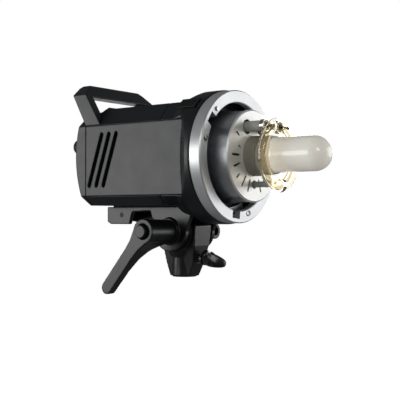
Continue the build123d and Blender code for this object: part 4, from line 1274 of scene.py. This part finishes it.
@dataclass
class Rear:
    """Control plate and everything on it.

    Attributes:
        shop: The workshop.
        digit_half_w: Half the width of a digit, between the middles of its bars.
        digit_quarter_h: A quarter of its height.
        bar_half_t: Half the thickness of a bar.
        bar_gap: Half the gap between two bars' points.
        bar_rise: How far a bar's back and front are from the window's face.
        digit_x: Middles of the two digits from the window's middle, positive to its right from behind.
        icon_r: Inner radius of the printed ring round a button.
        icon_w: Width of that ring.
        ink_t: Thickness of the print on the plate.
        screw_inset: Plate screws from the plate's edges.
        screw_r: Radius of a plate screw's head.
        screw_h: Its height.
        dial_r: Radius of the dial.
        dial_len: The dial's foot from its face.
        shaft_r: Radius of its shaft.
        flutes: Flutes round the dial.
        flute: Outline of a flute as (across, inward from the dial's radius), in millimetres.
        flute_ends: A flute's ends from the dial's foot and face.
        flute_bevel: Width of the bevel on its edges.
        pointer: Half width, inner and outer end of the pointer on the dial's face.
        pointer_rise: How far its back and front are from that face.
        tick: Half width, inner and outer end of a tick, from the dial's radius.
        ticks: Number of ticks.
        first_tick: Angle of the first one, in degrees.
        tick_turn: Angle between two ticks, in degrees.
        mark_lift: Middle of the rocker's mark above the rocker's.
        mark_half: Half width and half height of the mark.
        mark_depth: How far its back and front are behind the rocker's highest point.
    """

    shop: Workshop
    digit_half_w: float = 2.4 * MM
    digit_quarter_h: float = 2.3 * MM
    bar_half_t: float = 0.55 * MM
    bar_gap: float = 0.25 * MM
    bar_rise: tuple[float, float] = (-0.02 * MM, 0.06 * MM)
    digit_x: tuple[float, float] = (5.6 * MM, -4.2 * MM)
    icon_r: float = 5.6 * MM
    icon_w: float = 0.35 * MM
    ink_t: float = 0.03 * MM
    screw_inset: float = 4.0 * MM
    screw_r: float = 2.7 * MM
    screw_h: float = 1.5 * MM
    dial_r: float = 7.5 * MM
    dial_len: float = 17.0 * MM
    shaft_r: float = 3.0 * MM
    flutes: int = 24
    flute: tuple[tuple[float, float], ...] = ((-0.42, -1.1), (0.42, -1.1), (0.3, -0.15), (-0.3, -0.15))
    flute_ends: tuple[float, float] = (2.6 * MM, -1.6 * MM)
    flute_bevel: float = 0.12 * MM
    pointer: tuple[float, float, float] = (0.4 * MM, 2.0 * MM, 5.0 * MM)
    pointer_rise: tuple[float, float] = (-0.02 * MM, 0.05 * MM)
    tick: tuple[float, float, float] = (0.25 * MM, 1.2 * MM, 2.4 * MM)
    ticks: int = 9
    first_tick: float = -120.0
    tick_turn: float = 30.0
    mark_lift: float = 4.6 * MM
    mark_half: tuple[float, float] = (0.35 * MM, 1.4 * MM)
    mark_depth: tuple[float, float] = (-1.4 * MM, -0.55 * MM)

    def build(self) -> None:
        """Builds the rear."""
        keep = self.shop.keep
        keep(Finishes.PLATE, "control_plate")
        keep(Finishes.SMOKED, "display_window")
        for node in ("test_button", "modelling_button", "slave_button", "sound_button"):
            keep(Finishes.BUTTON, node)
            self._button_ring(node)
        keep(Finishes.ABS_GLOSS, "power_rocker")
        keep(Finishes.NYLON, "rocker_housing", "mains_inlet", "fuse_holder", "fuse_cap")
        keep(Finishes.BRASS, "inlet_pins")
        keep(Finishes.STEEL, "sync_jack")
        self._digits()
        self._dial()
        self._plate_screws()
        self._rocker_mark()

    def _digits(self) -> None:
        """Makes two seven-bar digits behind the smoked window: a lit 5 and a lit 0."""
        low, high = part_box("display_window")
        middle = (low + high) / 2
        lit = (
            (Segment.TOP, Segment.UPPER_LEFT, Segment.MIDDLE, Segment.LOWER_RIGHT, Segment.BOTTOM),
            tuple(bar for bar in Segment if bar is not Segment.MIDDLE),
        )
        for name, finish in (("lit", Finishes.DIGIT), ("unlit", Finishes.DIGIT_OFF)):
            shape = bmesh.new()
            for digit_x, bars in zip(self.digit_x, lit):
                for bar in Segment:
                    if (bar in bars) == (name == "lit"):
                        self._bar(shape, bar, Vector((middle.x + digit_x, high.y, middle.z)))
            digits = from_bmesh(f"display_digits_{name}", shape)
            self.shop.fasten(digits, "display_window", False, finish)

    def _bar(self, shape: bmesh.types.BMesh, bar: Segment, middle: Vector) -> None:
        """Adds one pointed bar of a digit.

        Args:
            shape: The mesh to add to.
            bar: The bar.
            middle: The digit's middle, on the window's face.
        """
        column, row, flat = bar.value
        half = (self.digit_half_w if flat else self.digit_quarter_h) - self.bar_gap
        thin = self.bar_half_t
        slope = half - thin
        ends = ((-half, 0), (-slope, thin), (slope, thin), (half, 0), (slope, -thin), (-slope, -thin))
        x, z = middle.x - column * self.digit_half_w, middle.z + row * self.digit_quarter_h
        points = [(x + (u if flat else v), z + (v if flat else u)) for u, v in ends]
        back, front = self.bar_rise
        join(shape, prism(points, middle.y + back, middle.y + front))

    def _button_ring(self, node: str) -> None:
        """Prints a thin ring round a button.

        Args:
            node: The button.
        """
        low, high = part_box(node)
        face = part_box("control_plate")[1].y
        middle = (low + high) / 2
        profile = rectangle((self.icon_r, self.icon_r + self.icon_w), (face, face + self.ink_t))
        ring = from_bmesh(f"{node}_ring", lathe(profile, (middle.x, 0, middle.z)))
        self.shop.fasten(ring, "control_plate", False, Finishes.WHITE_INK)

    def _dial(self) -> None:
        """Lathes the dial, repeats its flutes round it and prints its pointer and ticks."""
        low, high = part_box("power_dial")
        centre = Vector(((low.x + high.x) / 2, 0, (low.z + high.z) / 2))
        face, foot, r = high.y, high.y - self.dial_len, self.dial_r
        # The skirt, its step, the grip with its rounded edge, and the face.
        rim = in_mm([(0.0, 0.5), (0.0, 2.4), (-0.7, 2.9)])
        edge = in_mm([(-0.9, -1.4), (-1.4, -0.5), (-2.2, 0.0)])
        profile = [
            (0, low.y), (self.shaft_r, low.y), (self.shaft_r, foot), (r * 0.99, foot),
            *((r + u, foot + v) for u, v in rim), *((r + u, face + v) for u, v in edge), (0, face),
        ]
        body = from_bmesh("power_dial_body", lathe(profile, tuple(centre), steps=72))
        self.shop.fasten(body, "power_dial", finish=Finishes.NYLON)
        outline = [(u, r + v) for u, v in in_mm(self.flute)]
        rib = prism(outline, foot + self.flute_ends[0], face + self.flute_ends[1], bevel=self.flute_bevel)
        turn = math.tau / self.flutes
        self._around("power_dial_ribs", rib, centre, "power_dial", Finishes.NYLON, self.flutes, 0.0, turn)
        half, inner, outer = self.pointer
        back, front = self.pointer_rise
        pointer = prism(rectangle((-half, half), (inner, outer)), face + back, face + front)
        pointer.transform(Matrix.Translation(centre))
        self.shop.fasten(from_bmesh("power_dial_pointer", pointer), "power_dial", False, Finishes.WHITE_INK)
        half, inner, outer = self.tick
        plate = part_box("control_plate")[1].y
        tick = prism(rectangle((-half, half), (r + inner, r + outer)), plate, plate + self.ink_t)
        first, turn = math.radians(self.first_tick), math.radians(self.tick_turn)
        self._around("power_dial_ticks", tick, centre, "control_plate", Finishes.WHITE_INK, self.ticks, first, turn)

    def _around(
        self,
        name: str,
        shape: bmesh.types.BMesh,
        centre: Vector,
        node: str,
        finish: Finish,
        count: int,
        first: float,
        turn: float,
    ) -> None:
        """Repeats a shape round the dial's axis and fastens the result.

        Args:
            name: The piece's name.
            shape: The shape, drawn above the origin.
            centre: A point on the axis.
            node: The CAD node that the piece goes with.
            finish: Its finish.
            count: How many there are.
            first: Angle of the first one.
            turn: Angle between two.
        """
        shape.transform(Matrix.Translation(centre))
        inputs = {"Count": count, "Axis": (0.0, 1.0, 0.0), "Centre": tuple(centre), "First": first, "Turn": turn}
        self.shop.fasten(ring_tree().apply(from_bmesh(name, shape), finish, inputs), node, replaces=False)

    def _plate_screws(self) -> None:
        """Fits the pan heads that hold the plate."""
        low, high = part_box("control_plate")
        inset = self.screw_inset
        spots = [
            Vector((x, high.y, z)) for x in (low.x + inset, high.x - inset) for z in (low.z + inset, high.z - inset)
        ]
        self.shop.screws(
            "plate_screw_heads", spots, "control_plate_screws", self.screw_r, self.screw_h, Vector((0, 1, 0)),
            Finishes.DARK_STEEL,
        )

    def _rocker_mark(self) -> None:
        """Prints a white bar on the upper half of the rocker."""
        low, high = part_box("power_rocker")
        middle = (low + high) / 2
        half_w, half_h = self.mark_half
        z = middle.z + self.mark_lift
        outline = rectangle((middle.x - half_w, middle.x + half_w), (z - half_h, z + half_h))
        bar = prism(outline, *(high.y + depth for depth in self.mark_depth))
        self.shop.fasten(from_bmesh("rocker_mark", bar), "power_rocker", False, Finishes.WHITE_INK)


@dataclass
class Inside:
    """What the casing holds.

    Attributes:
        shop: The workshop.
    """

    shop: Workshop

    def build(self) -> None:
        """Dresses the inner pieces."""
        self.shop.keep(Finishes.NYLON, "fan_frame", "fan_rotor", "control_switches")
        self.shop.keep(Finishes.STEEL, "chassis")
        self.shop.keep(Finishes.SLEEVE, "capacitors", "board_components")
        self.shop.keep(Finishes.BOARD, "main_board", "control_board")


# ------------------------------------------------------------------------------------------------ studio
@dataclass(frozen=True)
class Softbox:
    """A soft rectangular light that looks at the head.

    Attributes:
        name: Its name.
        place: Where it hangs.
        size: Width and height.
        radiance: Brightness of its front, in watts per square metre and steradian.
    """

    name: str
    place: tuple[float, float, float]
    size: tuple[float, float]
    radiance: float


@dataclass
class Studio:
    """Floor, light and camera.

    Attributes:
        floor_z: Height of the floor.
        floor_half: Half its width.
        surround: Brightness of what surrounds the head, apart from the lights.
        lights: The softboxes.
        lens: Focal length, in millimetres.
        sensor: Width of the sensor, in millimetres.
        camera_at: Place of the camera.
        azimuth: Angle of the camera round the head, in degrees from -Y towards +X.
        elevation: Its angle above the floor's plane, in degrees.
    """

    floor_z: float = -0.34
    floor_half: float = 30.0
    surround: float = 0.11
    lights: tuple[Softbox, ...] = (
        # Mirrored by the left side and by the lever.
        Softbox("softbox_left_rear", (-1.75, 1.35, 0.2), (1.9, 1.0), 3.9),
        # Mirrored by the ring's and the dish's front.
        Softbox("softbox_right_front", (1.5, -1.4, 0.3), (1.7, 1.25), 2.4),
        # A window's glint on the lamp's glass.
        Softbox("softbox_window", (-1.1, -1.5, 0.75), (0.45, 0.5), 7.0),
        # For whoever looks from behind or from the right.
        Softbox("softbox_behind", (1.6, 2.0, 0.25), (1.4, 0.9), 2.8),
        Softbox("softbox_right", (2.3, 0.5, 0.6), (1.5, 1.1), 2.2),
    )
    lens: float = 78.906
    sensor: float = 36.0
    camera_at: tuple[float, float, float] = (-0.66574, -0.52612, 0.05945)
    azimuth: float = -52.686
    elevation: float = -0.965

    def build(self) -> None:
        """Builds the studio."""
        self._floor()
        self._world()
        for light in self.lights:
            self._hang(light)
        self._camera()

    def _floor(self) -> None:
        """Lays a plain pale floor that neither lights the head nor shows in it."""
        shape = bmesh.new()
        bmesh.ops.create_grid(shape, x_segments=1, y_segments=1, size=self.floor_half)
        shape.transform(Matrix.Translation((0, 0, self.floor_z)))
        floor = from_bmesh("studio_floor", shape)
        floor.data.materials.append(Finishes.SWEEP.material())
        floor.visible_diffuse = False
        floor.visible_glossy = False

    def _world(self) -> None:
        """Surrounds the scene with white for the eye and through glass, and with a dim light for all else."""
        world = bpy.data.worlds.new("studio")
        world.use_nodes = True
        tree = world.node_tree
        tree.nodes.clear()
        seen, lit = (
            add_node(tree, "ShaderNodeBackground", values={"Color": linear(colour), "Strength": strength}).outputs[0]
            for colour, strength in (("#ffffff", 1.0), ("#fbfcff", self.surround))
        )
        ray = add_node(tree, "ShaderNodeLightPath").outputs
        for kind in ("Is Camera Ray", "Is Transmission Ray"):
            lit = add_node(tree, "ShaderNodeMixShader", {0: ray[kind], 1: lit, 2: seen}).outputs[0]
        add_node(tree, "ShaderNodeOutputWorld", {0: lit})
        bpy.context.scene.world = world
        bpy.context.scene.view_settings.view_transform = "Standard"

    def _hang(self, light: Softbox) -> None:
        """Hangs a softbox that looks at the lamp's axis.

        Args:
            light: The softbox.
        """
        data = bpy.data.lights.new(light.name, "AREA")
        data.shape = "RECTANGLE"
        data.size, data.size_y = light.size
        data.energy = light.radiance * math.pi * data.size * data.size_y
        aim = Vector((0, 0, Layout.AXIS_Z)) - Vector(light.place)
        self._stand(link(light.name, data), light.place, aim)

    def _camera(self) -> None:
        """Sets the camera."""
        data = bpy.data.cameras.new("camera")
        data.lens = self.lens
        data.sensor_width = self.sensor
        a, e = math.radians(self.azimuth), math.radians(self.elevation)
        aim = -Vector((math.sin(a) * math.cos(e), -math.cos(a) * math.cos(e), math.sin(e)))
        camera = link("camera", data)
        self._stand(camera, self.camera_at, aim)
        bpy.context.scene.camera = camera

    def _stand(self, obj: bpy.types.Object, place: tuple[float, float, float], aim: Vector) -> None:
        """Puts a light or the camera in its place, looking along a direction."""
        obj.matrix_world = Matrix.Translation(place) @ aim.to_track_quat("-Z", "Y").to_matrix().to_4x4()


def main() -> None:
    """Builds the strobe and the studio."""
    logging.basicConfig(level=logging.INFO, format="%(message)s")
    frame = Frame.read()
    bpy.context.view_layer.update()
    shop = Workshop(frame)
    for assembly in (Casing(shop), Front(shop), FlashTube(shop), Bracket(shop), Rear(shop), Inside(shop), Studio()):
        assembly.build()
        LOG.info("%s done", type(assembly).__name__)


if __name__ == "__main__":
    main()
